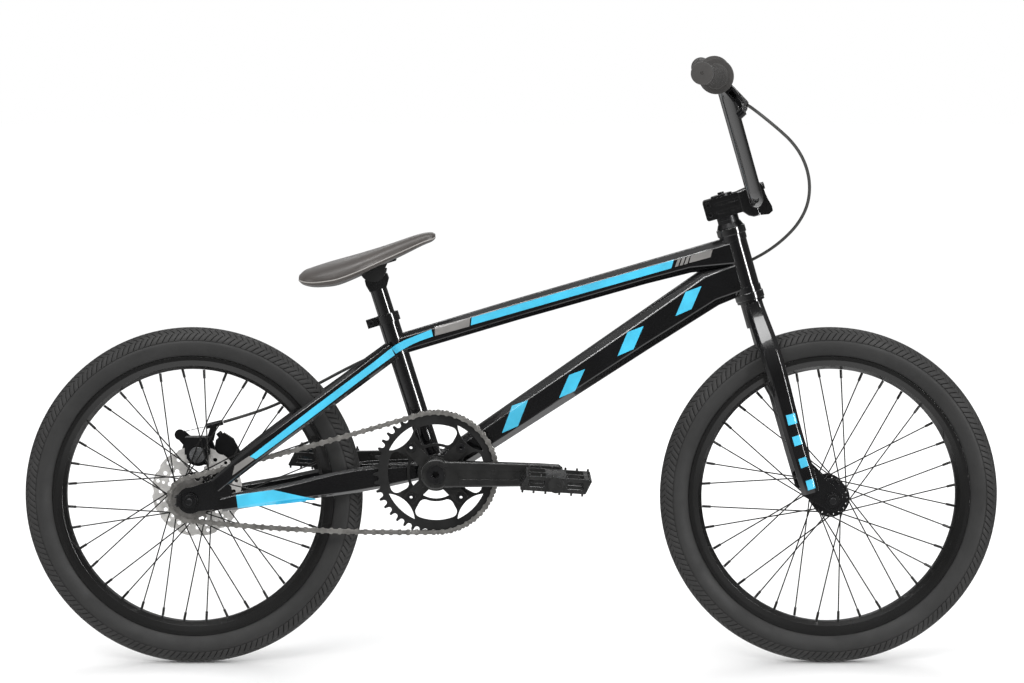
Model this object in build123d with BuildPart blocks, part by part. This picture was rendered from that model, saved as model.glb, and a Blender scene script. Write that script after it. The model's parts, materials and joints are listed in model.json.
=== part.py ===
from build123d import *
import os
from math import sin, cos, tan, radians, degrees, hypot, pi, sqrt, atan2

# Race BMX bike, 20 inch wheels.  Millimetres.
# +X points forward, +Y to the rider's left, +Z up.  The origin lies on the
# ground, midway between the two tyre contact points, in the centre plane.

os.makedirs("parts", exist_ok=True)

# ---------------------------------------------------------------- dimensions
TYRE_R = 251.3            # outer radius of both tyres
AXLE_X = 472.65           # half the wheelbase
AXLE_Z = TYRE_R
BB_X, BB_Z = -111.13, 291.3       # bottom bracket axis
SEAT_X, SEAT_Z = -113.04, 292.25  # foot of the seat tube axis
BAR_TURN = -3.5           # degrees, stem and bar stand a little out of line with the fork
SAG_LOW, SAG_UP = 5.6, 2.4        # sag of the two chain runs
HEAD_ANGLE = 74.0
H0X, H0Z = 339.45, 597.3          # middle of the head tube
SEAT_ANGLE = 72.5
WALL = 1.8                # frame tube wall

TYRE_SEC_R = 24.0         # tyre section radius
TYRE_MID = TYRE_R - TYRE_SEC_R
RIM_IN, RIM_OUT, RIM_HALF = 189.5, 209.0, 15.5
SPOKES = 36
SPOKE_R, NIPPLE_R = 1.0, 1.95

CRANK = 175.0
CRANK_TILT = 0.6          # degrees, front arm a little below level
PITCH = 12.7
RING_T, COG_T = 44, 16
CHAIN_Y = -46.0
LINKS = 88
RING_PHASE, COG_PHASE = 97.77587553, 88.87611928   # first seated pins
POST_R = 12.7
BAR_R = 11.1
STEERER_R = 14.3
ROTOR_R, ROTOR_Y = 68.0, 45.0

# ---------------------------------------------------------------- directions
ha, sa = radians(HEAD_ANGLE), radians(SEAT_ANGLE)
UHX, UHZ = -cos(ha), sin(ha)      # up the steering axis
NHX, NHZ = sin(ha), cos(ha)       # forward, square to it
USX, USZ = -cos(sa), sin(sa)      # up the seat tube
NSX, NSZ = sin(sa), cos(sa)

head_plane = Plane(origin=(H0X, 0, H0Z), x_dir=(NHX, 0, NHZ), z_dir=(UHX, 0, UHZ))
head_side = Plane(origin=(H0X, 0, H0Z), x_dir=(NHX, 0, NHZ), z_dir=(0, -1, 0))
seat_plane = Plane(origin=(SEAT_X, 0, SEAT_Z), x_dir=(NSX, 0, NSZ), z_dir=(USX, 0, USZ))
seat_side = Plane(origin=(SEAT_X, 0, SEAT_Z), x_dir=(NSX, 0, NSZ), z_dir=(0, -1, 0))
side = Plane(origin=(0, 0, 0), x_dir=(1, 0, 0), z_dir=(0, -1, 0))


def side_at(x, y, z, tilt=0.0):
    """Side-view plane at a point; its normal points to the right side (-Y)."""
    t = radians(tilt)
    return Plane(origin=(x, y, z), x_dir=(cos(t), 0, sin(t)), z_dir=(0, -1, 0))


def hp(s, r, y):
    """Point from steering-axis coordinates: s up the axis, r forward."""
    return (H0X + s * UHX + r * NHX, y, H0Z + s * UHZ + r * NHZ)


def station(top, bot, y):
    """Plane across a tube, local y from its lower to its upper edge."""
    ux, uz = top[0] - bot[0], top[1] - bot[1]
    return Plane(origin=((top[0] + bot[0]) / 2, y, (top[1] + bot[1]) / 2),
                 x_dir=(0, 1, 0), z_dir=(uz, 0, -ux))


def dist(a, b):
    return hypot(a[0] - b[0], a[1] - b[1])


def wheel_plane(x):
    """Section plane of a wheel: local x is +Y, local y is the radius."""
    return Plane(origin=(x, 0, AXLE_Z), x_dir=(0, 1, 0), z_dir=(1, 0, 0))


def unit(v):
    n = sqrt(sum(c * c for c in v))
    return tuple(c / n for c in v)


def cross(a, b):
    return (a[1] * b[2] - a[2] * b[1], a[2] * b[0] - a[0] * b[2], a[0] * b[1] - a[1] * b[0])


def route(pts):
    """Corner radii of a cord: 0.45 of the shorter run over tan of half the turn."""
    out = []
    for i in range(1, len(pts) - 1):
        a, b, c = (Vector(*p) for p in pts[i - 1:i + 2])
        turn = (b - a).get_angle(c - b)
        run = min((b - a).length, (c - b).length)
        out.append(0.45 * run / tan(radians(turn) / 2))
    return out


def save(block, name):
    block.part.label = name
    export_step(block.part, "parts/" + name + ".step")


def turn_vec(v):
    """A direction turned with the bar about the steering axis."""
    k, c, s = (UHX, 0, UHZ), cos(radians(BAR_TURN)), sin(radians(BAR_TURN))
    kv, kd = cross(k, v), sum(a * b for a, b in zip(k, v))
    return tuple(v[i] * c + kv[i] * s + k[i] * kd * (1 - c) for i in range(3))


def turn_pt(p):
    """A point turned with the bar about the steering axis."""
    o = (H0X, 0, H0Z)
    return tuple(o[i] + q for i, q in enumerate(turn_vec(tuple(a - b for a, b in zip(p, o)))))


def save_turned(block, name):
    part = block.part.rotate(Axis((H0X, 0, H0Z), (UHX, 0, UHZ)), BAR_TURN)
    part.label = name
    export_step(part, "parts/" + name + ".step")


# ======================================================================
# FRAME
# ======================================================================
HEAD_R, HEAD_HALF = 18.7, 44.5
CUP_R, CUP_TOP = 21.6, 55.5
SEAT_R = 15.1
BB_R, BB_HALF = 22.5, 36.0
SEAT_TOP = 241.5

with BuildPart() as head_tube:
    with BuildSketch(head_plane):
        Circle(HEAD_R)
    extrude(amount=HEAD_HALF, both=True)
    with BuildSketch(head_plane.offset(HEAD_HALF - 9)):
        Circle(HEAD_R + 1.3)
    extrude(amount=9)
    with BuildSketch(head_plane.offset(-HEAD_HALF)):
        Circle(HEAD_R + 1.3)
    extrude(amount=9)
    with BuildSketch(head_plane):
        Circle(16.2)
    extrude(amount=60, both=True, mode=Mode.SUBTRACT)

with BuildPart() as headset_cups:
    for s0 in (HEAD_HALF, -CUP_TOP):
        with BuildSketch(head_plane.offset(s0)):
            Circle(CUP_R)
        extrude(amount=CUP_TOP - HEAD_HALF)
    fillet(headset_cups.edges().filter_by(GeomType.CIRCLE), 1.2)
    with BuildSketch(head_plane):
        Circle(19.5)
    extrude(amount=54, both=True, mode=Mode.SUBTRACT)
    with BuildSketch(head_plane):
        Circle(17.0)
    extrude(amount=70, both=True, mode=Mode.SUBTRACT)
    # keep the two cups clear of the head tube between them
    with BuildSketch(head_plane):
        Circle(30)
    extrude(amount=HEAD_HALF, both=True, mode=Mode.SUBTRACT)

with BuildPart() as bb_shell:
    with BuildSketch(side_at(BB_X, 0, BB_Z)):
        Circle(BB_R)
        Circle(19.0, mode=Mode.SUBTRACT)
    extrude(amount=BB_HALF, both=True)
    chamfer(bb_shell.edges().filter_by(GeomType.CIRCLE).group_by(SortBy.RADIUS)[-1], 0.8)

# cartridge bearings of the headset and of the bottom bracket
with BuildPart() as bearings:
    for s0 in (46.5, -53.9):
        with BuildSketch(head_plane.offset(s0)):
            Circle(19.45)
            Circle(STEERER_R + 0.05, mode=Mode.SUBTRACT)
        extrude(amount=7.4)
    for y0 in (-27.0, 35.0):
        with BuildSketch(side_at(BB_X, y0, BB_Z)):
            Circle(18.95)
            Circle(12.05, mode=Mode.SUBTRACT)
        extrude(amount=8)

with BuildPart() as seat_tube:
    with BuildSketch(seat_plane):
        Circle(SEAT_R)
    extrude(amount=SEAT_TOP)
    with BuildSketch(seat_plane):
        Circle(POST_R + 0.05)
    extrude(amount=SEAT_TOP + 10, mode=Mode.SUBTRACT)
    with BuildSketch(side_at(BB_X, 0, BB_Z)):
        Circle(BB_R)
    extrude(amount=60, both=True, mode=Mode.SUBTRACT)

# tube stations: upper edge, lower edge, centre y, width, bevel
DOWN = [((-119.3, 307.1), (-98.1, 275.5), 0, 38, 8),
        ((70.0, 439.6), (96.1, 400.8), 0, 42, 10),
        ((176.5, 514.2), (205.3, 471.3), 0, 43, 11),
        ((281.0, 587.3), (307.0, 535.5), 0, 40, 11),
        ((337.5, 606.0), (350.0, 553.5), 0, 32, 8)]
TOP = [((-181.0, 488.1), (-173.1, 459.0), 0, 27, 6),
       ((0.0, 542.7), (8.4, 513.0), 0, 29, 7),
       ((190.15, 597.8), (199.05, 567.0), 0, 32, 8),
       ((258.0, 617.4), (266.5, 584.0), 0, 34, 9),
       ((326.5, 637.6), (340.0, 591.0), 0, 34, 9)]

with BuildPart() as down_tube:
    for top, bot, y, w, c in DOWN:
        with BuildSketch(station(top, bot, y)) as sk:
            Rectangle(w, dist(top, bot))
            chamfer(sk.vertices(), c)
            fillet(sk.vertices(), 0.3 * c)
    loft(ruled=True)
    for top, bot, y, w, c in DOWN:
        with BuildSketch(station(top, bot, y)) as sk:
            Rectangle(w - 2 * WALL, dist(top, bot) - 2 * WALL)
            chamfer(sk.vertices(), c * 0.9)
            fillet(sk.vertices(), 0.3 * c)
    loft(ruled=True, mode=Mode.SUBTRACT)
    with BuildSketch(side_at(BB_X, 0, BB_Z)):
        Circle(BB_R)
    extrude(amount=60, both=True, mode=Mode.SUBTRACT)
    with BuildSketch(seat_plane):
        Circle(SEAT_R)
    extrude(amount=60, mode=Mode.SUBTRACT)
    with BuildSketch(head_plane):
        Circle(HEAD_R)
    extrude(amount=60, both=True, mode=Mode.SUBTRACT)
    for s0 in (HEAD_HALF - 9, -HEAD_HALF - 20):
        with BuildSketch(head_plane.offset(s0)):
            Circle(HEAD_R + 1.3)
        extrude(amount=29, mode=Mode.SUBTRACT)
    with BuildSketch(head_plane.offset(-CUP_TOP - 15)):
        Circle(CUP_R + 0.1)
    extrude(amount=26, mode=Mode.SUBTRACT)
    # cleared above the seam with the top tube, and in front of the head axis
    with BuildSketch(side):
        Polygon((283.0, 585.5), (360.0, 601.75), (360, 700), (230, 700), (230, 574.6), (266.5, 583.9), align=None)
    extrude(amount=60, both=True, mode=Mode.SUBTRACT)
    with BuildSketch(head_side):
        Polygon((0, -90), (60, -90), (60, 90), (0, 90), align=None)
    extrude(amount=60, both=True, mode=Mode.SUBTRACT)

with BuildPart() as top_tube:
    for top, bot, y, w, c in TOP:
        with BuildSketch(station(top, bot, y)) as sk:
            Rectangle(w, dist(top, bot))
            chamfer(sk.vertices(), c)
            fillet(sk.vertices(), 0.3 * c)
    loft(ruled=True)
    for top, bot, y, w, c in TOP:
        with BuildSketch(station(top, bot, y)) as sk:
            Rectangle(w - 2 * WALL, dist(top, bot) - 2 * WALL)
            chamfer(sk.vertices(), c * 0.9)
            fillet(sk.vertices(), 0.3 * c)
    loft(ruled=True, mode=Mode.SUBTRACT)
    with BuildSketch(seat_plane):
        Circle(SEAT_R)
    extrude(amount=260, mode=Mode.SUBTRACT)
    with BuildSketch(seat_side):
        Polygon((0, 100), (-60, 100), (-60, 260), (0, 260), align=None)
    extrude(amount=60, both=True, mode=Mode.SUBTRACT)
    with BuildSketch(head_plane):
        Circle(HEAD_R)
    extrude(amount=60, both=True, mode=Mode.SUBTRACT)
    with BuildSketch(head_plane.offset(HEAD_HALF - 9)):
        Circle(HEAD_R + 1.3)
    extrude(amount=29, mode=Mode.SUBTRACT)
    with BuildSketch(side):
        Polygon((283.0, 585.5), (360.0, 601.75), (360, 480), (283, 480), align=None)
    extrude(amount=60, both=True, mode=Mode.SUBTRACT)
    with BuildSketch(head_side):
        Polygon((0, -90), (60, -90), (60, 90), (0, 90), align=None)
    extrude(amount=60, both=True, mode=Mode.SUBTRACT)

# rear triangle: the same stays on both sides, mirrored across the centre plane
DROP_IN, DROP_OUT = 55.0, 61.0
CHAINSTAY = [((-428.0, 256.5), (-425.0, 235.0), 57.0, 14, 3.5),
             ((-371.0, 268.5), (-367.0, 243.5), 55.0, 15, 4),
             ((-290.5, 285.2), (-285.0, 253.5), 46.5, 15, 4.5),
             ((-229.5, 296.9), (-224.5, 260.5), 36.0, 14, 4.5),
             ((-203.0, 299.6), (-199.0, 264.7), 33.0, 14, 4.5),
             ((-139.0, 303.5), (-137.0, 277.5), 27.0, 15, 4.5)]
SEATSTAY = [((-442.0, 281.5), (-430.0, 263.5), 58.5, 13, 3),
            ((-403.0, 315.5), (-387.5, 296.0), 58.5, 13, 4),
            ((-350.5, 356.6), (-335.1, 335.8), 57.0, 13, 4),
            ((-296.5, 396.4), (-280.9, 375.3), 48.0, 13, 4),
            ((-236.0, 441.1), (-220.0, 419.5), 33.0, 13, 4),
            ((-182.5, 480.8), (-166.3, 458.6), 17.0, 13, 4)]

with BuildPart() as dropouts:
    for y0 in (DROP_OUT, -DROP_IN):
        with BuildSketch(side_at(-AXLE_X, y0, AXLE_Z)) as sk:
            Circle(19.5)
            Polygon((-12, 15.4), (36, 31), (60, 21), (66, -10.5), (-8, -17.8), align=None)
            fillet(sk.vertices().filter_by(lambda v: v.X > 30), 5)
            with Locations((0, 0)):
                SlotCenterToCenter(8, 10.3, mode=Mode.SUBTRACT)
        extrude(amount=DROP_OUT - DROP_IN)

for sgn, tag in ((-1, "right"), (1, "left")):
    with BuildPart() as chainstay:
        for top, bot, y, w, c in CHAINSTAY:
            with BuildSketch(station(top, bot, sgn * y)) as sk:
                Rectangle(w, dist(top, bot))
                chamfer(sk.vertices(), c)
                fillet(sk.vertices(), 0.3 * c)
        loft()
        with BuildSketch(side_at(BB_X, 0, BB_Z)):
            Circle(BB_R)
        extrude(amount=60, both=True, mode=Mode.SUBTRACT)
        with BuildSketch(side_at(-AXLE_X, sgn * 58.0, AXLE_Z)) as sk:
            Circle(19.7)
            Polygon((-12, 15.4), (36, 31.2), (60.2, 21.2), (66.2, -10.7), (-8, -18), align=None)
        extrude(amount=3.0, both=True, mode=Mode.SUBTRACT)
        with BuildSketch(seat_plane):
            Circle(SEAT_R)
        extrude(amount=60, mode=Mode.SUBTRACT)
    save(chainstay, "chainstay_" + tag)

    with BuildPart() as seatstay:
        for top, bot, y, w, c in SEATSTAY:
            with BuildSketch(station(top, bot, sgn * y)) as sk:
                Rectangle(w, dist(top, bot))
                chamfer(sk.vertices(), c)
                fillet(sk.vertices(), 0.3 * c)
        loft()
        with BuildSketch(side_at(-AXLE_X, sgn * 58.0, AXLE_Z)) as sk:
            Circle(19.7)
            Polygon((-12, 15.4), (36, 31.2), (60.2, 21.2), (66.2, -10.7), (-8, -18), align=None)
        extrude(amount=3.0, both=True, mode=Mode.SUBTRACT)
        with BuildSketch(seat_plane):
            Circle(SEAT_R)
        extrude(amount=260, mode=Mode.SUBTRACT)
        # mitred against the flank of the top tube
        with BuildSketch(seat_side):
            Polygon((0, 130), (60, 130), (60, 230), (0, 230), align=None)
        extrude(amount=60, both=True, mode=Mode.SUBTRACT)
        add(chainstay.part, mode=Mode.SUBTRACT)
    save(seatstay, "seatstay_" + tag)

# seat clamp: split ring with two ears behind, pinched by one bolt
with BuildPart() as seat_clamp:
    with BuildSketch(seat_plane.offset(SEAT_TOP - 13.5)) as sk:
        Circle(18.0)
        with Locations((-22.8, 0)):
            Rectangle(18, 13)
        Circle(SEAT_R, mode=Mode.SUBTRACT)
        with Locations((-24.8, 0)):
            Rectangle(24, 1.6, mode=Mode.SUBTRACT)
    extrude(amount=13)
    with BuildSketch(seat_side):
        with Locations((-25.3, SEAT_TOP - 7)):
            Circle(2.6)
    extrude(amount=20, both=True, mode=Mode.SUBTRACT)

# pinch bolt, caliper mount bolts and chain tensioner screws of the frame
with BuildPart() as frame_hardware:
    with BuildSketch(seat_side.offset(-8)):
        with Locations((-25.3, SEAT_TOP - 7)):
            Circle(2.5)
    extrude(amount=14.5)
    with BuildSketch(seat_side.offset(6.5)):
        with Locations((-25.3, SEAT_TOP - 7)):
            Circle(4.4)
            RegularPolygon(2.2, 6, mode=Mode.SUBTRACT)
    extrude(amount=4)
    for ysg in (-1, 1):
        # tensioner block behind the axle, its screw running forward
        with BuildSketch(side_at(-AXLE_X - 19.6, ysg * 61.0 if ysg < 0 else 64.2, AXLE_Z)):
            with Locations((3.0, 0)):
                Rectangle(7, 18)
        extrude(amount=3.2)
        for dz in (-5.6, 5.6):
            with BuildSketch(Plane(origin=(-AXLE_X - 20.2, ysg * 62.6, AXLE_Z + dz),
                                   x_dir=(0, 1, 0), z_dir=(-1, 0, 0))):
                Circle(1.7)
            extrude(amount=2.5)

with BuildPart() as rear_axle:
    with BuildSketch(side_at(-AXLE_X, 0, AXLE_Z)):
        Circle(5.0)
    extrude(amount=80, both=True)
    for y0 in (-64.4, 66.4):
        with BuildSketch(side_at(-AXLE_X, y0, AXLE_Z)):
            Circle(11.8)
        extrude(amount=2.0)
    for y0 in (-66.4, 74.4):
        with BuildSketch(side_at(-AXLE_X, y0, AXLE_Z)):
            Circle(9.2)
        extrude(amount=8.0)
    for y0 in (-61.0, 64.4):
        with BuildSketch(side_at(-AXLE_X, y0, AXLE_Z)):
            Circle(8.5)
        extrude(amount=3.4)
    chamfer(rear_axle.edges().filter_by(GeomType.CIRCLE).filter_by(lambda e: abs(e.radius - 5.0) < 0.01
            and abs(abs(e.center().Y) - 80) < 0.1), 0.8)

# ======================================================================
# CHAIN
# ======================================================================
RP = PITCH / (2 * sin(pi / RING_T))
CP = PITCH / (2 * sin(pi / COG_T))
CENTRES = hypot(BB_X + AXLE_X, BB_Z - AXLE_Z)
LINE = atan2(BB_Z - AXLE_Z, BB_X + AXLE_X)
print("centre distance", CENTRES)


def chain_point(u, v):
    """From axes along and square to the centre line, to X and Z."""
    return (-AXLE_X + u * cos(LINE) - v * sin(LINE), AXLE_Z + u * sin(LINE) + v * cos(LINE))


pins = []
for k in range(25):
    a = radians(RING_PHASE - k * 360 / RING_T)
    pins.append(chain_point(CENTRES + RP * cos(a), RP * sin(a)))
low = pins[-1]
a8 = radians(COG_PHASE + 8 * 360 / COG_T)
end = chain_point(CP * cos(a8), CP * sin(a8))
for k in range(1, 28):
    drop = 4 * SAG_LOW * k / 28 * (1 - k / 28)
    pins.append((low[0] + (end[0] - low[0]) * k / 28 + drop * sin(LINE),
                 low[1] + (end[1] - low[1]) * k / 28 - drop * cos(LINE)))
for k in range(9):
    a = radians(COG_PHASE + (8 - k) * 360 / COG_T)
    pins.append(chain_point(CP * cos(a), CP * sin(a)))
up = pins[-1]
for k in range(1, 28):
    drop = 4 * SAG_UP * k / 28 * (1 - k / 28)
    pins.append((up[0] + (pins[0][0] - up[0]) * k / 28 + drop * sin(LINE),
                 up[1] + (pins[0][1] - up[1]) * k / 28 - drop * cos(LINE)))
print("links", len(pins), "pitch", min(dist(pins[i], pins[i - 1]) for i in range(LINKS)),
      max(dist(pins[i], pins[i - 1]) for i in range(LINKS)))

# one outer link: two plates and two pins, at the origin, pins along Z
with BuildPart() as outer_link:
    for z0 in (2.75, -3.7):
        with BuildSketch(Plane.XY.offset(z0)):
            with Locations((0, 0), (PITCH, 0)):
                Circle(4.2)
            with Locations((PITCH / 2, 0)):
                Rectangle(PITCH, 5.6)
        extrude(amount=0.95)
    with BuildSketch(Plane.XY.offset(-4.3)):
        with Locations((0, 0), (PITCH, 0)):
            Circle(1.8)
    extrude(amount=8.6)

with BuildPart() as inner_link:
    for z0 in (1.65, -2.6):
        with BuildSketch(Plane.XY.offset(z0)):
            with Locations((0, 0), (PITCH, 0)):
                Circle(4.3)
            with Locations((PITCH / 2, 0)):
                Rectangle(PITCH, 5.6)
        extrude(amount=0.95)
    with BuildSketch(Plane.XY.offset(-1.65)):
        with Locations((0, 0), (PITCH, 0)):
            Circle(3.86)
    extrude(amount=3.3)
    with BuildSketch(Plane.XY.offset(-4)):
        with Locations((0, 0), (PITCH, 0)):
            Circle(1.9)
    extrude(amount=8, mode=Mode.SUBTRACT)


def link_plane(i):
    a, b = pins[i], pins[(i + 1) % LINKS]
    return Plane(origin=(a[0], CHAIN_Y, a[1]), x_dir=(b[0] - a[0], 0, b[1] - a[1]), z_dir=(0, -1, 0))


with BuildPart() as chain_outer_links:
    add([outer_link.part.moved(link_plane(i).location) for i in range(0, LINKS, 2)])
with BuildPart() as chain_inner_links:
    add([inner_link.part.moved(link_plane(i).location) for i in range(1, LINKS, 2)])


def tooth_gap(pr, n, k, phase, centre_u):
    """Angle and centre of roller seat k, in the side view."""
    a = radians(phase + k * 360.0 / n) + LINE
    cx, cz = chain_point(centre_u, 0)
    return cx + pr * cos(a), cz + pr * sin(a), degrees(a)


# ======================================================================
# CRANKSET
# ======================================================================
ct = radians(-CRANK_TILT)
CX, CZ = cos(ct), sin(ct)

with BuildPart() as chainring:
    with BuildSketch(side_at(BB_X, CHAIN_Y + 1.4, BB_Z)) as sk:
        Circle(RP + 3.7)
        # open windows: two wide ones above and below, four lenses beside the tabs
        for ang in (90, 270):
            with Locations(Location((0, 0, 0), (0, 0, ang))):
                with BuildSketch(mode=Mode.PRIVATE) as win:
                    Circle(71)
                    with Locations((0, 0)):
                        Circle(43, mode=Mode.SUBTRACT)
                    Polygon((0, 0), (120, 66), (120, 200), (-200, 200), (-200, -200), (120, -200), (120, -66),
                            align=None, mode=Mode.SUBTRACT)
                    fillet(win.vertices(), 9)
                add(win.sketch, mode=Mode.SUBTRACT)
        for ang in (45, 135, 225, 315):
            with Locations(Location((0, 0, 0), (0, 0, ang))):
                with BuildSketch(mode=Mode.PRIVATE) as lens:
                    Circle(76.5)
                    with Locations((104, 0)):
                        Circle(42, mode=Mode.INTERSECT)
                add(lens.sketch, mode=Mode.SUBTRACT)
        Circle(39, mode=Mode.SUBTRACT)
        for ang in (0, 180):
            with Locations(Location((0, 0, 0), (0, 0, ang))):
                with BuildSketch(mode=Mode.PRIVATE) as win2:
                    Circle(71)
                    with Locations((0, 0)):
                        Circle(43, mode=Mode.SUBTRACT)
                    Polygon((0, 0), (120, 66), (120, 200), (-200, 200), (-200, -200), (120, -200), (120, -66),
                            align=None, mode=Mode.SUBTRACT)
                    fillet(win2.vertices(), 9)
                add(win2.sketch, mode=Mode.SUBTRACT)
        with PolarLocations(52, 4, start_angle=45):
            Circle(5.0, mode=Mode.SUBTRACT)
    extrude(amount=2.8)
    # roller seats between the 44 teeth, flaring outwards
    with BuildSketch(side.offset(-CHAIN_Y - 3)) as cut:
        for k in range(RING_T):
            gx, gz, ga = tooth_gap(RP, RING_T, k, RING_PHASE, CENTRES)
            with Locations(Location((gx, gz, 0), (0, 0, ga))):
                Circle(4.0)
                Polygon((0, -4.0), (6, -6.0), (6, 6.0), (0, 4.0), align=None)
    extrude(amount=6, mode=Mode.SUBTRACT)

with BuildPart() as rear_cog:
    with BuildSketch(side_at(-AXLE_X, CHAIN_Y + 1.4, AXLE_Z)) as sk:
        Circle(CP + 2.6)
    extrude(amount=2.8)
    with BuildSketch(side.offset(-CHAIN_Y - 3)) as cut:
        for k in range(COG_T):
            gx, gz, ga = tooth_gap(CP, COG_T, k, COG_PHASE, 0)
            with Locations(Location((gx, gz, 0), (0, 0, ga))):
                Circle(4.15)
                Polygon((0, -4.15), (6, -7.4), (6, 7.4), (0, 4.15), align=None)
    extrude(amount=6, mode=Mode.SUBTRACT)
    # driver shell carrying the cog
    with BuildSketch(side_at(-AXLE_X, -33.0, AXLE_Z)):
        Circle(15.5)
    extrude(amount=18)
    with BuildSketch(side_at(-AXLE_X, -20, AXLE_Z)):
        Circle(5.06)
    extrude(amount=60, mode=Mode.SUBTRACT)

with BuildPart() as crank_spindle:
    with BuildSketch(side_at(BB_X, 0, BB_Z)):
        Circle(12.0)
    extrude(amount=73, both=True)
    for y0 in (-73.0, 76.0):
        with BuildSketch(side_at(BB_X, y0, BB_Z)):
            Circle(13.6)
        extrude(amount=3.0)
    for y0 in (-66.0, 78.0):
        with BuildSketch(side_at(BB_X, y0, BB_Z)):
            RegularPolygon(5.6, 6)
        extrude(amount=12, mode=Mode.SUBTRACT)

ARM = [(12, 19.5), (60, 18.8), (150, 16.8), (CRANK + 6, 15.2), (CRANK + 11, 11),
       (CRANK + 12.5, 4), (CRANK + 12, -9), (CRANK + 8, -14), (CRANK, -15.6), (60, -18.4), (12, -19.5)]

for sgn, tag in ((1, "right"), (-1, "left")):
    # the right arm points forward, the left one backward
    tilt = -CRANK_TILT if sgn > 0 else 180 - CRANK_TILT
    y_in, y_out = (-58.0, -73.0) if sgn > 0 else (73.0, 58.0)
    with BuildPart() as crank_arm:
        with BuildSketch(side_at(BB_X, y_in, BB_Z, tilt)) as sk:
            Circle(22.5)
            Polygon(*[(px, pz * sgn) for px, pz in ARM], align=None)
        extrude(amount=15)
        fillet(crank_arm.edges().filter_by(lambda e: abs(abs(e.center().Y) - 73) < 0.1), 3.0)
        if sgn > 0:
            # spider with four tabs to the chainring bolts
            with BuildSketch(side_at(BB_X, -47.4, BB_Z)) as sp:
                Circle(27)
                for ang in (45, 135, 225, 315):
                    with Locations(Location((0, 0, 0), (0, 0, ang))):
                        with Locations((30, 0)):
                            Rectangle(58, 20)
                fillet(sp.vertices().filter_by(lambda v: hypot(v.X, v.Y) > 50), 5)
            extrude(amount=4.6)
            with BuildSketch(side_at(BB_X, -47.4, BB_Z)):
                Circle(24)
            extrude(amount=12)
            with BuildSketch(side_at(BB_X, -47, BB_Z)):
                with PolarLocations(52, 4, start_angle=45):
                    Circle(5.0)
            extrude(amount=6, mode=Mode.SUBTRACT)
        # long recess along the outer face of the arm
        with BuildSketch(side_at(BB_X, -71.8 if sgn > 0 else 71.8, BB_Z, tilt) if sgn > 0
                         else Plane(origin=(BB_X, 71.8, BB_Z), x_dir=(-CX, 0, -CZ), z_dir=(0, 1, 0))):
            with Locations((88, 0)):
                SlotOverall(112, 14)
        extrude(amount=4, mode=Mode.SUBTRACT)
        with BuildSketch(side_at(BB_X, -40 if sgn > 0 else 80, BB_Z, tilt)):
            Circle(12.0)
            with Locations((CRANK, 0)):
                Circle(7.1)
        extrude(amount=45, mode=Mode.SUBTRACT)
    save(crank_arm, "crank_arm_" + tag)

with BuildPart() as chainring_bolts:
    for ang in (45, 135, 225, 315):
        a = radians(ang)
        bx, bz = BB_X + 52 * cos(a), BB_Z + 52 * sin(a)
        with BuildSketch(side_at(bx, -43.2, bz)):
            Circle(4.95)
            Circle(2.4, mode=Mode.SUBTRACT)
        extrude(amount=10)
        for y0 in (-43.2, -52.0):
            with BuildSketch(side_at(bx, y0, bz)):
                Circle(6.6)
                Circle(2.4, mode=Mode.SUBTRACT)
            extrude(amount=1.4)

PED = {1: (BB_X + CRANK * CX, BB_Z + CRANK * CZ), -1: (BB_X - CRANK * CX, BB_Z - CRANK * CZ)}
with BuildPart() as pedal_axles:
    for sgn in (1, -1):
        px, pz = PED[sgn]
        for r, y0, y1 in ((7.1, 59.0, 73.0), (9.0, 73.0, 76.5), (5.0, 76.5, 176.0)):
            with BuildSketch(side_at(px, -sgn * y0 if sgn > 0 else y1, pz)):
                Circle(r)
            extrude(amount=y1 - y0)

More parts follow.
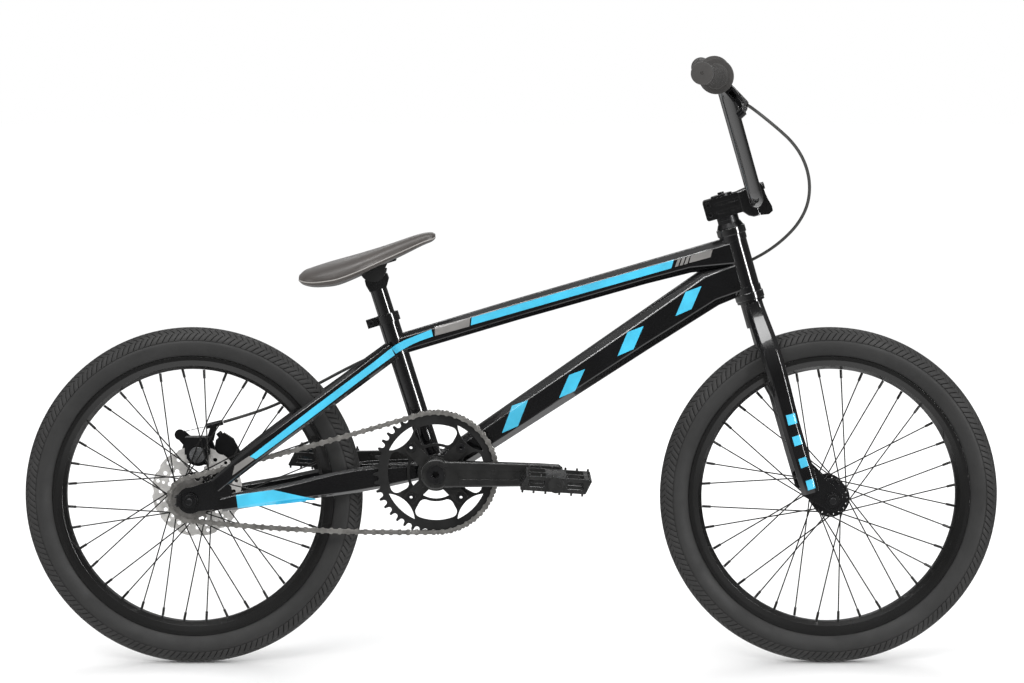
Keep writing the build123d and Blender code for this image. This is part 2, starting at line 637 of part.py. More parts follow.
PED_TILT = -4.0
for sgn, tag in ((1, "right"), (-1, "left")):
    px, pz = PED[sgn]
    y_hi = -78.0 if sgn > 0 else 182.0      # the body spans 104 mm along Y from here
    with BuildPart() as pedal:
        with BuildSketch(side_at(px, y_hi, pz, PED_TILT)) as sk:
            Polygon((-52, -10.5), (43, -10.5), (52, 10.5), (-43, 10.5), align=None)
            fillet(sk.vertices(), 2.0)
        extrude(amount=104)
        # openings through the platform, front and rear of the axle barrel
        yc = y_hi - 52
        for x0 in (-27.5, 27.5):
            for y1, yw in ((-23.5, 40), (23.5, 40)):
                with BuildSketch(Plane(origin=(px, yc, pz), x_dir=(cos(radians(PED_TILT)), 0, sin(radians(PED_TILT))),
                                       z_dir=(-sin(radians(PED_TILT)), 0, cos(radians(PED_TILT))))) as sk:
                    with Locations((x0, y1)):
                        Rectangle(25, yw)
                    fillet(sk.vertices(), 4)
                extrude(amount=20, both=True, mode=Mode.SUBTRACT)
        # windows through the two side plates
        with BuildSketch(side_at(px, y_hi + 1, pz, PED_TILT)) as sk:
            for x0 in (-28, 28):
                with Locations((x0, 0)):
                    Rectangle(24, 11)
            fillet(sk.vertices(), 2.5)
        extrude(amount=106, mode=Mode.SUBTRACT)
        with BuildSketch(side_at(px, y_hi, pz)):
            Circle(11.0)
        extrude(amount=104)
        ye = -sgn * 182.0
        with BuildSketch(side_at(px, ye if sgn > 0 else ye + 3.0, pz)):
            Circle(11.5)
        extrude(amount=3.0)
        # traction pins on both faces
        e = (cos(radians(PED_TILT)), sin(radians(PED_TILT)))
        nrm = (-e[1], e[0])
        for lu, lv in ((-43, -50), (-27, -50), (-10, -50), (10, -50), (27, -50), (43, -50),
                       (-43, 50), (-27, 50), (-10, 50), (10, 50), (27, 50), (43, 50),
                       (-43, -17), (-43, 17), (43, -17), (43, 17)):
            for up_ in (1, -1):
                u2 = lu + 4.5 * up_
                with BuildSketch(Plane(origin=(px + u2 * e[0] + up_ * 10.0 * nrm[0], yc + lv,
                                               pz + u2 * e[1] + up_ * 10.0 * nrm[1]),
                                       x_dir=(e[0], 0, e[1]), z_dir=(up_ * nrm[0], 0, up_ * nrm[1]))):
                    Circle(1.6)
                extrude(amount=4.0)
        with BuildSketch(side_at(px, -70 if sgn > 0 else 177.0, pz)):
            Circle(5.08)
        extrude(amount=107, mode=Mode.SUBTRACT)
    save(pedal, "pedal_" + tag)

# ======================================================================
# WHEELS
# ======================================================================
VALVE_ANGLE = {"rear": 0.0, "front": 120.0}
HUBS = {
    # flange y positions (right, left), flange radius, hole radius
    "front": (-31.0, 31.0, 28.5, 24.6),
    "rear": (-28.0, 31.0, 31.0, 27.0),
}

for tag, ax in (("rear", -AXLE_X), ("front", AXLE_X)):
    wp = wheel_plane(ax)
    spin = Axis((ax, 0, AXLE_Z), (0, 1, 0))
    va = radians(VALVE_ANGLE[tag])
    vdir = (cos(va), 0, sin(va))

    with BuildPart() as tyre:
        with BuildSketch(wp):
            with Locations((0, TYRE_MID)):
                Circle(TYRE_SEC_R)
            with Locations((0, 214.4)):
                Rectangle(25.0, 21.2)
            with Locations((0, TYRE_MID)):
                Circle(20.6, mode=Mode.SUBTRACT)
            with Locations((0, 211.8)):
                Rectangle(18.6, 22, mode=Mode.SUBTRACT)
            for sy in (-1, 1):
                with Locations((sy * 17.6, 204.2)):
                    Rectangle(10.0, 10.2, mode=Mode.SUBTRACT)
        revolve(axis=spin)
    save(tyre, tag + "_tyre")

    with BuildPart() as inner_tube:
        with BuildSketch(wp):
            with Locations((0, TYRE_MID)):
                Circle(20.2)
        revolve(axis=spin)
        with BuildSketch(wp):
            with Locations((0, TYRE_MID)):
                Circle(19.0)
        revolve(axis=spin, mode=Mode.SUBTRACT)
        # valve stem through the rim
        with BuildSketch(Plane(origin=(ax + 163 * vdir[0], 0, AXLE_Z + 163 * vdir[2]), x_dir=(0, 1, 0), z_dir=vdir)):
            Circle(3.0)
        extrude(amount=45.0)
        with BuildSketch(Plane(origin=(ax + 158 * vdir[0], 0, AXLE_Z + 158 * vdir[2]), x_dir=(0, 1, 0), z_dir=vdir)):
            Circle(3.7)
        extrude(amount=12.0)
    save(inner_tube, tag + "_inner_tube")

    with BuildPart() as rim:
        with BuildSketch(wp):
            Polygon((-7, 189.5), (7, 189.5), (13.6, 195.0), (15.5, 203.0), (15.5, 209.0), (12.9, 209.0), (12.6, 203.6),
                    (9.4, 203.0), (7.5, 199.2), (-7.5, 199.2), (-9.4, 203.0), (-12.6, 203.6), (-12.9, 209.0),
                    (-15.5, 209.0), (-15.5, 203.0), (-13.6, 195.0), align=None)
            Polygon((-6, 191.3), (6, 191.3), (12.0, 196.0), (12.9, 201.0), (10.4, 201.4), (8.6, 197.6), (-8.6, 197.6),
                    (-10.4, 201.4), (-12.9, 201.0), (-12.0, 196.0), align=None, mode=Mode.SUBTRACT)
        revolve(axis=spin)
        with BuildSketch(Plane(origin=(ax + 180 * vdir[0], 0, AXLE_Z + 180 * vdir[2]), x_dir=(0, 1, 0), z_dir=vdir)):
            Circle(3.2)
        extrude(amount=25.0, mode=Mode.SUBTRACT)
    save(rim, tag + "_rim")

    yr, yl, fr, hr = HUBS[tag]
    with BuildPart() as hub:
        if tag == "front":
            prof = [(-50, 5.06), (-50, 9.0), (-36, 9.5), (-33, 14), (-32.8, fr), (-29.2, fr), (-28.4, 20), (-22, 14.5),
                    (22, 14.5), (28.4, 20), (29.2, fr), (32.8, fr), (33, 14), (36, 9.5), (50, 9.0), (50, 5.06)]
        else:
            prof = [(-32.6, 5.06), (-32.6, 16.5), (-29.8, 17), (-29.8, fr), (-26.2, fr), (-25.4, 22), (-19, 17),
                    (22, 17), (28.4, 22), (29.2, fr), (32.8, fr), (33.6, 24), (40, 25), (44.0, 26), (44.0, 16.9),
                    (46.5, 16.9), (48, 10), (55, 9), (55, 5.06)]
        with BuildSketch(wp):
            Polygon(*prof, align=None)
        revolve(axis=spin)
        with BuildSketch(side_at(ax, 0, AXLE_Z)):
            with PolarLocations(hr, SPOKES // 2, start_angle=0.0):
                Circle(1.3)
        extrude(amount=36, mode=Mode.SUBTRACT)
        with BuildSketch(side_at(ax, 0, AXLE_Z)):
            with PolarLocations(hr, SPOKES // 2, start_angle=10.0):
                Circle(1.3)
        extrude(amount=-36, mode=Mode.SUBTRACT)
    save(hub, tag + "_hub")

    # three-cross lacing: on each flange, half the spokes lean forward and half
    # backward; alternate heads sit outside and inside of the flange
    with BuildPart() as spokes:
        n = SPOKES // 2
        for yf, ysg, start in ((yr, -1, 0.0), (yl, 1, 10.0)):
            for k in range(n):
                lean = 1 if k % 2 else -1
                off = lean * (1.75 + 1.25)
                a0 = radians(start + k * 360.0 / n)
                a1 = a0 + lean * radians(65.0 if lean > 0 else 55.0)
                p0 = (ax + hr * cos(a0), yf + ysg * off, AXLE_Z + hr * sin(a0))
                rr = RIM_IN - 0.3
                p1 = (ax + rr * cos(a1), ysg * 3.2 + ysg * lean * 1.2, AXLE_Z + rr * sin(a1))
                d = tuple(b - a for a, b in zip(p0, p1))
                length = sqrt(sum(c * c for c in d))
                with BuildSketch(Plane(origin=p0, z_dir=d)):
                    Circle(SPOKE_R)
                extrude(amount=length - 10)
                du = unit(d)
                q = tuple(a + (length - 13) * c for a, c in zip(p0, du))
                with BuildSketch(Plane(origin=q, z_dir=d)):
                    Circle(NIPPLE_R)
                extrude(amount=13 - 0.4)
    save(spokes, tag + "_spokes")

with BuildPart() as front_axle:
    with BuildSketch(side_at(AXLE_X, 0, AXLE_Z)):
        Circle(5.0)
    extrude(amount=71, both=True)
    for y0 in (-56.0, 58.0):
        with BuildSketch(side_at(AXLE_X, y0, AXLE_Z)):
            Circle(11.0)
        extrude(amount=2.0)
    for y0 in (-58.0, 64.5):
        with BuildSketch(side_at(AXLE_X, y0, AXLE_Z)):
            Circle(8.8)
        extrude(amount=6.5)
    chamfer(front_axle.edges().filter_by(GeomType.CIRCLE).filter_by(lambda e: abs(e.radius - 5.0) < 0.01
            and abs(abs(e.center().Y) - 71) < 0.1), 0.8)

with BuildPart() as brake_rotor:
    with BuildSketch(side_at(-AXLE_X, ROTOR_Y + 0.9, AXLE_Z)) as sk:
        Circle(ROTOR_R)
        # wavy outer edge
        with PolarLocations(ROTOR_R + 9.6, 12):
            Circle(12.0, mode=Mode.SUBTRACT)
        # rows of vent holes in the braking band
        with PolarLocations(61.0, 12, start_angle=15):
            Circle(2.6, mode=Mode.SUBTRACT)
        with PolarLocations(55.0, 12, start_angle=0):
            Circle(3.0, mode=Mode.SUBTRACT)
        with PolarLocations(52.5, 12, start_angle=15):
            Circle(2.2, mode=Mode.SUBTRACT)
        # openings between the band and the carrier
        with PolarLocations(36.5, 6, start_angle=30):
            Circle(10.4, mode=Mode.SUBTRACT)
        with PolarLocations(42.3, 12, start_angle=15):
            Circle(3.4, mode=Mode.SUBTRACT)
        Circle(17.0, mode=Mode.SUBTRACT)
        with PolarLocations(22.0, 6):
            Circle(2.6, mode=Mode.SUBTRACT)
    extrude(amount=1.8)
    with BuildSketch(side_at(-AXLE_X, ROTOR_Y + 2.6, AXLE_Z)):
        with PolarLocations(22.0, 6):
            Circle(4.2)
    extrude(amount=1.7)
    with BuildSketch(side_at(-AXLE_X, ROTOR_Y + 2.6, AXLE_Z)):
        with PolarLocations(22.0, 6):
            Circle(2.55)
    extrude(amount=3.5)

# ======================================================================
# FORK, STEM, HANDLEBAR
# ======================================================================
LEG = [(-59.5, 2.0, 16.0, 26.0, 22, 6), (-95.0, 3.0, 26.0, 29.0, 21, 6), (-130.0, 4.5, 37.5, 30.5, 21, 6),
       (-200.0, 4.8, 46.0, 29.0, 20, 6), (-280.0, 4.4, 52.0, 27.0, 19, 6), (-350.0, 4.6, 57.0, 25.5, 18, 6)]
AX_S = (AXLE_X - H0X) * UHX + (AXLE_Z - H0Z) * UHZ
AX_R = (AXLE_X - H0X) * NHX + (AXLE_Z - H0Z) * NHZ
print("axle in steering coordinates", AX_S, AX_R)

with BuildPart() as fork_steerer:
    with BuildSketch(head_plane.offset(-96)):
        Circle(STEERER_R)
    extrude(amount=96 + 100.5)
    with BuildSketch(head_plane.offset(-96)):
        Circle(16.5)
    extrude(amount=37)
    with BuildSketch(head_plane.offset(-59.0)):
        Circle(20.5)
    extrude(amount=3.0)
    with BuildSketch(head_plane.offset(-100)):
        Circle(11.8)
    extrude(amount=220, mode=Mode.SUBTRACT)

for sgn, tag in ((-1, "right"), (1, "left")):
    with BuildPart() as fork_leg:
        for s0, r0, y0, dep, wid, c in LEG:
            with BuildSketch(Plane(origin=hp(s0, r0, sgn * y0), x_dir=(NHX, 0, NHZ), z_dir=(UHX, 0, UHZ))) as sk:
                Rectangle(dep, wid)
                chamfer(sk.vertices(), c)
                fillet(sk.vertices(), 1.8)
        loft()
        for s0, r0, y0, dep, wid, c in LEG:
            with BuildSketch(Plane(origin=hp(s0, r0, sgn * y0), x_dir=(NHX, 0, NHZ), z_dir=(UHX, 0, UHZ))) as sk:
                Rectangle(dep - 5, wid - 5)
                chamfer(sk.vertices(), c - 1.2)
                fillet(sk.vertices(), 1.2)
        loft(mode=Mode.SUBTRACT)
        # dropout plate reaching forward from the foot of the leg to the axle
        with BuildSketch(Plane(origin=hp(0, 0, -50.0 if sgn < 0 else 56.0), x_dir=(NHX, 0, NHZ), z_dir=(0, -1, 0))) as sk:
            with Locations((AX_R, AX_S)):
                Circle(16.5)
            Polygon((-7.0, -330.0), (17.0, -312.0), (24.0, -322.0), (AX_R + 15.9, AX_S + 4.3),
                    (AX_R - 9.0, AX_S - 13.8), (-7.0, -352.0), align=None)
            with Locations((AX_R, AX_S)):
                Circle(5.0, mode=Mode.SUBTRACT)
        extrude(amount=6.0)
        with BuildSketch(head_plane.offset(-120)):
            Circle(16.5)
        extrude(amount=70, mode=Mode.SUBTRACT)
        with BuildSketch(head_plane.offset(-59.0)):
            Circle(40)
        extrude(amount=20, mode=Mode.SUBTRACT)
        # the two legs meet in the centre plane below the crown
        with BuildSketch(head_plane.offset(-120)):
            with Locations((0, -sgn * 30)):
                Rectangle(80, 60)
        extrude(amount=80, mode=Mode.SUBTRACT)
        # bore for the axle through whatever crosses it
        with BuildSketch(side_at(AXLE_X, 0, AXLE_Z)):
            Circle(5.0)
        extrude(amount=80, both=True, mode=Mode.SUBTRACT)
        # flats for the washers
        with BuildSketch(side_at(AXLE_X, -56.0 if sgn < 0 else 70.0, AXLE_Z)):
            Circle(11.6)
        extrude(amount=14.0, mode=Mode.SUBTRACT)
    save(fork_leg, "fork_leg_" + tag)

STEM_LO, STEM_HI = 73.4, 103.9
BAR_S, BAR_F = 85.0, 47.5
with BuildPart() as headset_spacers:
    with BuildSketch(head_plane.offset(56.0)):
        Circle(20.0)
    extrude(amount=7.0, taper=24)
    for s0, hgt in ((63.0, 5.1), (68.2, 5.1)):
        with BuildSketch(head_plane.offset(s0)):
            Circle(16.0)
        extrude(amount=hgt)
    with BuildSketch(head_plane.offset(50)):
        Circle(STEERER_R)
    extrude(amount=30, mode=Mode.SUBTRACT)
    # top cap
    with BuildSketch(head_plane.offset(STEM_HI)):
        Circle(16.0)
        Circle(3.2, mode=Mode.SUBTRACT)
    extrude(amount=2.6)

with BuildPart() as stem_body:
    with BuildSketch(head_side) as sk:
        Polygon((-30, STEM_LO), (24, STEM_LO), (44, STEM_LO), (44, STEM_HI), (-30, STEM_HI), align=None)
        fillet(sk.vertices().filter_by(lambda v: v.X < 0), 4)
    extrude(amount=17.5, both=True)
    with BuildSketch(head_side) as sk:
        Polygon((24, STEM_LO + 0.6), (31, 66), (38, 62.4), (47.2, 62.4), (47.2, 107), (36, 105.6), (24, STEM_HI), align=None)
    extrude(amount=25.0, both=True)
    fillet(stem_body.edges().filter_by(lambda e: abs(abs(e.center().Y) - 25) < 0.05), 1.6)
    with BuildSketch(head_plane):
        Circle(STEERER_R)
    extrude(amount=120, mode=Mode.SUBTRACT)
    with BuildSketch(head_side):
        with Locations((BAR_F, BAR_S)):
            Circle(BAR_R + 0.02)
    extrude(amount=30, both=True, mode=Mode.SUBTRACT)
    # pinch slot behind the steerer
    with BuildSketch(head_plane.offset(STEM_LO - 2)):
        with Locations((-25, 0)):
            Rectangle(24, 2.0)
    extrude(amount=40, mode=Mode.SUBTRACT)
    with BuildSketch(head_side):
        with Locations((-23, 81.0), (-23, 96.5)):
            Circle(2.7)
    extrude(amount=20, both=True, mode=Mode.SUBTRACT)
    with BuildSketch(head_side.offset(14.5)):
        with Locations((-23, 81.0), (-23, 96.5)):
            Circle(4.6)
    extrude(amount=6, mode=Mode.SUBTRACT)
    # long shallow grooves along both flanks
    for yy, zd in ((-17.5, 1), (17.5, -1)):
        with BuildSketch(head_side.offset(16.7 if zd > 0 else -17.7)):
            for sc in (82.0, 94.5):
                with Locations((8, sc)):
                    SlotOverall(44, 4.0)
        extrude(amount=1.0, mode=Mode.SUBTRACT)
    # threaded holes of the four faceplate bolts
    with BuildSketch(Plane(origin=hp(0, 30, 0), x_dir=(0, 1, 0), z_dir=(NHX, 0, NHZ))):
        for yy in (-18, 18):
            for ss in (67.8, 102.2):
                with Locations((yy, ss)):
                    Circle(2.6)
    extrude(amount=30, mode=Mode.SUBTRACT)

with BuildPart() as stem_faceplate:
    with BuildSketch(head_side) as sk:
        Polygon((48.2, 62.4), (60, 60.2), (67, 63.5), (67.6, 70), (65.0, 80), (63.4, 90), (62.8, 100), (61.0, 106),
                (57, 108), (48.2, 108), align=None)
    extrude(amount=25.0, both=True)
    with BuildSketch(head_side):
        with Locations((BAR_F, BAR_S)):
            Circle(BAR_R + 0.02)
    extrude(amount=30, both=True, mode=Mode.SUBTRACT)
    # window across the middle of the plate
    with BuildSketch(Plane(origin=hp(0, 30, 0), x_dir=(0, 1, 0), z_dir=(NHX, 0, NHZ))) as sk:
        with Locations((0, 85)):
            Rectangle(20, 14)
        fillet(sk.vertices(), 3)
    extrude(amount=50, mode=Mode.SUBTRACT)
    with BuildSketch(Plane(origin=hp(0, 30, 0), x_dir=(0, 1, 0), z_dir=(NHX, 0, NHZ))):
        for yy in (-18, 18):
            for ss in (67.8, 102.2):
                with Locations((yy, ss)):
                    Circle(2.6)
    extrude(amount=50, mode=Mode.SUBTRACT)
    with BuildSketch(Plane(origin=hp(0, 60.5, 0), x_dir=(0, 1, 0), z_dir=(NHX, 0, NHZ))):
        for yy in (-18, 18):
            for ss in (67.8, 102.2):
                with Locations((yy, ss)):
                    Circle(4.6)
    extrude(amount=20, mode=Mode.SUBTRACT)

with BuildPart() as stem_bolts:
    with BuildSketch(Plane(origin=hp(0, 34, 0), x_dir=(0, 1, 0), z_dir=(NHX, 0, NHZ))):
        for yy in (-18, 18):
            for ss in (67.8, 102.2):
                with Locations((yy, ss)):
                    Circle(2.5)
    extrude(amount=26.5)
    with BuildSketch(Plane(origin=hp(0, 60.5, 0), x_dir=(0, 1, 0), z_dir=(NHX, 0, NHZ))):
        for yy in (-18, 18):
            for ss in (67.8, 102.2):
                with Locations((yy, ss)):
                    Circle(4.3)
                    RegularPolygon(2.3, 6, mode=Mode.SUBTRACT)
    extrude(amount=4.5)
    with BuildSketch(head_side.offset(-15)):
        with Locations((-23, 81.0), (-23, 96.5)):
            Circle(2.5)
    extrude(amount=29.5)
    with BuildSketch(head_side.offset(14.5)):
        with Locations((-23, 81.0), (-23, 96.5)):
            Circle(4.3)
            RegularPolygon(2.3, 6, mode=Mode.SUBTRACT)
    extrude(amount=3.6)
    with BuildSketch(head_plane.offset(104.2)):
        Circle(3.0)
    extrude(amount=2.4)
    with BuildSketch(head_plane.offset(STEM_HI + 2.6)):
        Circle(4.8)
        RegularPolygon(2.6, 6, mode=Mode.SUBTRACT)
    extrude(amount=3.2)

# handlebar: low centre, two rising legs, crossbar, swept ends
B1 = (58.0, BAR_S, BAR_F)
B2 = (172.0, 274.5, 47.2)
B3 = (351.0, 290.6, 22.0)
bar_pts = [hp(B3[1], B3[2], -B3[0]), hp(B2[1], B2[2], -B2[0]), hp(B1[1], B1[2], -B1[0]),
           hp(B1[1], B1[2], B1[0]), hp(B2[1], B2[2], B2[0]), hp(B3[1], B3[2], B3[0])]
with BuildPart() as handlebar:
    with BuildLine() as bl:
        path = FilletPolyline(*bar_pts, radius=[58, 40, 40, 58])
    with BuildSketch(Plane(origin=path @ 0, z_dir=path % 0)):
        Circle(BAR_R)
        Circle(BAR_R - 1.2, mode=Mode.SUBTRACT)
    sweep()
    cs = 196.0
    cf = (cs - B1[1]) / (B2[1] - B1[1])
    cy = B1[0] + cf * (B2[0] - B1[0])
    cr = B1[2] + cf * (B2[2] - B1[2])
    with BuildSketch(Plane(origin=hp(cs, cr, 0), x_dir=(NHX, 0, NHZ), z_dir=(0, 1, 0))):
        Circle(8.0)
    extrude(amount=cy - 9.0, both=True)
print("handlebar volume", handlebar.part.volume, "solids", len(handlebar.part.solids()))

# bar-end frame of each grip: w runs outwards along the bar
GRIP_IN = 128.0
for sgn, tag in ((-1, "right"), (1, "left")):
    p_in, p_end = hp(B2[1], B2[2], sgn * B2[0]), hp(B3[1], B3[2], sgn * B3[0])
    e = unit(tuple(b - a for a, b in zip(p_in, p_end)))
    xd = unit(cross(e, (0, 0, 1)))

    def along(w, e=e, p_end=p_end, xd=xd):
        return Plane(origin=tuple(p + w * c for p, c in zip(p_end, e)), x_dir=xd, z_dir=e)

    with BuildPart() as grip:
        with BuildSketch(along(-GRIP_IN)):
            Circle(25.0)
        extrude(amount=3.5)
        with BuildSketch(along(-GRIP_IN + 3.5)):
            Circle(18.0)
        extrude(amount=4.0, taper=20)
        with BuildSketch(along(-GRIP_IN + 3.0)):
            Circle(15.6)
        extrude(amount=GRIP_IN - 4.5)
        with BuildSketch(along(-2.0)):
            Circle(16.4)
        extrude(amount=5.0)
        fillet(grip.edges().filter_by(GeomType.CIRCLE).filter_by(lambda q: abs(q.radius - 25) < 0.01), 1.2)
        with BuildSketch(along(-GRIP_IN - 1)):
            Circle(BAR_R + 0.02)
        extrude(amount=GRIP_IN + 1.1, mode=Mode.SUBTRACT)
        with BuildSketch(along(1.6)):
            Circle(3.0)
        extrude(amount=2, mode=Mode.SUBTRACT)
    save_turned(grip, "grip_" + tag)

# brake lever on the right end of the bar
p_in, p_end = hp(B2[1], B2[2], -B2[0]), hp(B3[1], B3[2], -B3[0])
eb = unit(tuple(b - a for a, b in zip(p_in, p_end)))      # outwards along the bar
raw = (cos(radians(47)), 0, -sin(radians(47)))            # forward and down
dt_ = sum(a * b for a, b in zip(raw, eb))
eu = unit(tuple(a - dt_ * b for a, b in zip(raw, eb)))
en = cross(eb, eu)
LB = tuple(p - 141.0 * c for p, c in zip(p_end, eb))
lever_plane = Plane(origin=LB, x_dir=eb, z_dir=en)        # local x outwards, local y forward-down
PIV = (2.0, 40.0)
print("lever pivot", turn_pt(tuple(LB[i] + PIV[0] * eb[i] + PIV[1] * eu[i] for i in range(3))), "axis", turn_vec(en))

with BuildPart() as brake_perch:
    with BuildSketch(Plane(origin=tuple(p - 6.5 * c for p, c in zip(LB, eb)), x_dir=eu, z_dir=eb)):
        Circle(15.8)
        Circle(BAR_R + 0.02, mode=Mode.SUBTRACT)
    extrude(amount=13)
    with BuildSketch(lever_plane) as sk:
        Polygon((-6.5, 14.0), (6.5, 14.0), (9.5, 34.0), (10.5, 44.0), (6.0, 50.0), (-8.0, 51.0), (-17.0, 55.0),
                (-21.0, 50.0), (-16.0, 34.0), align=None)
        fillet(sk.vertices().filter_by(lambda v: v.Y > 45), 1.5)
    extrude(amount=6.5, both=True)
    # slot for the lever, open to the outer side
    with BuildSketch(lever_plane):
        Polygon((-8.0, 28.0), (30.0, 28.0), (30.0, 60.0), (-8.0, 60.0), align=None)
    extrude(amount=3.2, both=True, mode=Mode.SUBTRACT)
    with BuildSketch(lever_plane):
        with Locations(PIV):
            Circle(2.45)
    extrude(amount=7.5, both=True)
    # barrel adjuster where the cable leaves
    with BuildSketch(Plane(origin=tuple(LB[i] - 19.0 * eb[i] + 52.0 * eu[i] for i in range(3)), x_dir=eu,
                           z_dir=tuple(-c for c in eb))):
        Circle(4.6)
    extrude(amount=12)
    with BuildSketch(Plane(origin=tuple(LB[i] - 31.0 * eb[i] + 52.0 * eu[i] for i in range(3)), x_dir=eu,
                           z_dir=tuple(-c for c in eb))):
        Circle(3.6)
    extrude(amount=5)
    # clamp bolt boss under the bar
    with BuildSketch(Plane(origin=tuple(LB[i] - 17.5 * eu[i] - 9 * en[i] for i in range(3)), x_dir=eb, z_dir=en)):
        Circle(5.0)
    extrude(amount=18)
    with BuildSketch(Plane(origin=tuple(p - 10 * c for p, c in zip(LB, eb)), x_dir=eu, z_dir=eb)):
        Circle(BAR_R + 0.02)
    extrude(amount=20, mode=Mode.SUBTRACT)

with BuildPart() as brake_lever:
    with BuildSketch(lever_plane) as sk:
        with Locations(PIV):
            Circle(6.5)
        Polygon((-3.0, 46.2), (4.0, 34.0), (20.0, 42.0), (34.0, 54.5), (58.0, 60.5), (92.0, 66.0), (112.0, 71.0),
                (111.0, 77.5), (90.0, 73.5), (56.0, 69.0), (30.0, 64.5), (14.0, 54.0), align=None)
        with Locations((111.5, 74.0)):
            Circle(5.2)
    extrude(amount=3.0, both=True)
    with BuildSketch(lever_plane) as sk:
        Polygon((30.0, 55.0), (58.0, 60.5), (92.0, 66.0), (112.0, 71.0), (111.0, 77.5), (90.0, 73.5), (56.0, 69.0),
                (30.0, 64.0), align=None)
        with Locations((111.5, 74.0)):
            Circle(5.2)
    extrude(amount=5.0, both=True)
    with BuildSketch(lever_plane):
        with Locations(PIV):
            Circle(2.5)
    extrude(amount=8, both=True, mode=Mode.SUBTRACT)

# ======================================================================
# REAR DISC BRAKE
# ======================================================================
CAL = (-470.95, 307.8)       # pad axis, behind and above the axle
with BuildPart() as brake_caliper:
    # outboard half
    with BuildSketch(side_at(CAL[0], 62.0, CAL[1])) as sk:
        Circle(19.0)
        Polygon((-24, -14), (20, -18), (26, 4), (18, 26), (-19, 26), (-25, 6), align=None)
    extrude(amount=13.2)
    # inboard half with the round adjuster housing
    with BuildSketch(side_at(CAL[0], 42.4, CAL[1])) as sk:
        Circle(16.5)
        Polygon((-19, 0), (19, 0), (18, 26), (-19, 26), align=None)
    extrude(amount=7.4)
    # bridge over the edge of the disc
    with BuildSketch(side_at(CAL[0], 62.0, CAL[1])) as sk:
        Polygon((-19, 14.5), (18, 14.5), (18, 26), (-19, 26), align=None)
    extrude(amount=27.0)
    # adapter bracket running forward to the seatstay
    with BuildSketch(side_at(CAL[0], 63.5, CAL[1])) as sk:
        Polygon((20, -16), (36, -23.6), (40.6, -18.0), (63.0, 1.0), (52.0, 22.0), (38.0, 31.0), (26.0, 20.0), align=None)
    extrude(amount=10.0)
    # room for the disc inside the bridge
    with BuildSketch(side_at(-AXLE_X, 48.8, AXLE_Z)):
        Circle(ROTOR_R + 1.6)
    extrude(amount=6.4, mode=Mode.SUBTRACT)
    # stalk and barrel of the cable stop
    with BuildSketch(side_at(CAL[0], 66.0, CAL[1])) as sk:
        Polygon((12, 22), (22, 18), (27, 40), (18, 42), align=None)
    extrude(amount=6.0)
    add(seatstay.part, mode=Mode.SUBTRACT)
    with BuildSketch(Plane(origin=(CAL[0] + 10.0, 70.0, CAL[1] + 38.9), x_dir=(0, 1, 0), z_dir=(0.9703, 0, 0.2419))):
        Circle(4.2)
        Circle(1.3, mode=Mode.SUBTRACT)
    extrude(amount=26.0)
    # slotted rim of the pad adjuster
    with BuildSketch(side_at(CAL[0], 35.0, CAL[1])) as sk:
        Circle(15.0)
        Circle(12.2, mode=Mode.SUBTRACT)
    extrude(amount=2.2)
    # two mount bolts with tall heads
    for bx, bz in ((44.0, 22.0), (30.0, -11.0)):
        with BuildSketch(Plane(origin=(CAL[0] + bx - 8 * 0.6, 58.5, CAL[1] + bz + 8 * 0.8 - 10), x_dir=(0, 1, 0), z_dir=(-0.6, 0, 0.8))):
            Circle(4.6)
        extrude(amount=16.0)
    # bore of the arm pivot
    with BuildSketch(side_at(CAL[0], 70, CAL[1])):
        Circle(5.05)
    extrude(amount=21.2, mode=Mode.SUBTRACT)

with BuildPart() as brake_pad_fixed:
    with BuildSketch(side_at(CAL[0], 44.0, CAL[1])):
        Circle(11.0)
    extrude(amount=1.6)
    # silver adjuster knob behind the pad
    with BuildSketch(side_at(CAL[0], 34.9, CAL[1])):
        Circle(12.0)
    extrude(amount=2.0)

with BuildPart() as brake_pad_moving:
    with BuildSketch(side_at(CAL[0], 48.6, CAL[1])):
        Circle(11.0)
    extrude(amount=1.7)

with BuildPart() as brake_arm:
    with BuildSketch(side_at(CAL[0], 66.4, CAL[1])) as sk:
        Circle(10.5)
        Polygon((-7.5, -7.5), (7.5, 7.5), (-22.5, 33.5), (-34.0, 23.0), align=None)
        with Locations((-29.0, 27.0)):
            Circle(8.0)
    extrude(amount=4.0)
    with BuildSketch(side_at(CAL[0], 72.0, CAL[1])):
        with Locations((-29.0, 27.0)):
            Circle(4.8)
    extrude(amount=6.0)
    with BuildSketch(side_at(CAL[0], 62.4, CAL[1])):
        Circle(5.0)
    extrude(amount=12.0)

# ======================================================================
# SEAT
# ======================================================================
PIVOT = (-204.6, 590.0)
PIV_H = (PIVOT[0] - SEAT_X) * USX + (PIVOT[1] - SEAT_Z) * USZ
PIV_N = (PIVOT[0] - SEAT_X) * NSX + (PIVOT[1] - SEAT_Z) * NSZ
print("saddle pivot along the post", PIV_H, PIV_N)
with BuildPart() as seatpost:
    with BuildSketch(seat_plane.offset(150)):
        Circle(POST_R)
    extrude(amount=PIV_H - 150 - 24)
    with BuildSketch(seat_side) as sk:
        Polygon((-12.7, PIV_H - 32), (12.7, PIV_H - 32), (PIV_N + 17.5, PIV_H - 21), (PIV_N + 17.0, PIV_H - 13),
                (PIV_N - 17.0, PIV_H - 13), (PIV_N - 17.5, PIV_H - 21), align=None)
    extrude(amount=12.6, both=True)
    with BuildSketch(side_at(PIVOT[0], 0, PIVOT[1])):
        Circle(20.0)
    extrude(amount=30, both=True, mode=Mode.SUBTRACT)
    # hollow below the head
    with BuildSketch(seat_plane.offset(149)):
        Circle(POST_R - 1.8)
    extrude(amount=100, mode=Mode.SUBTRACT)

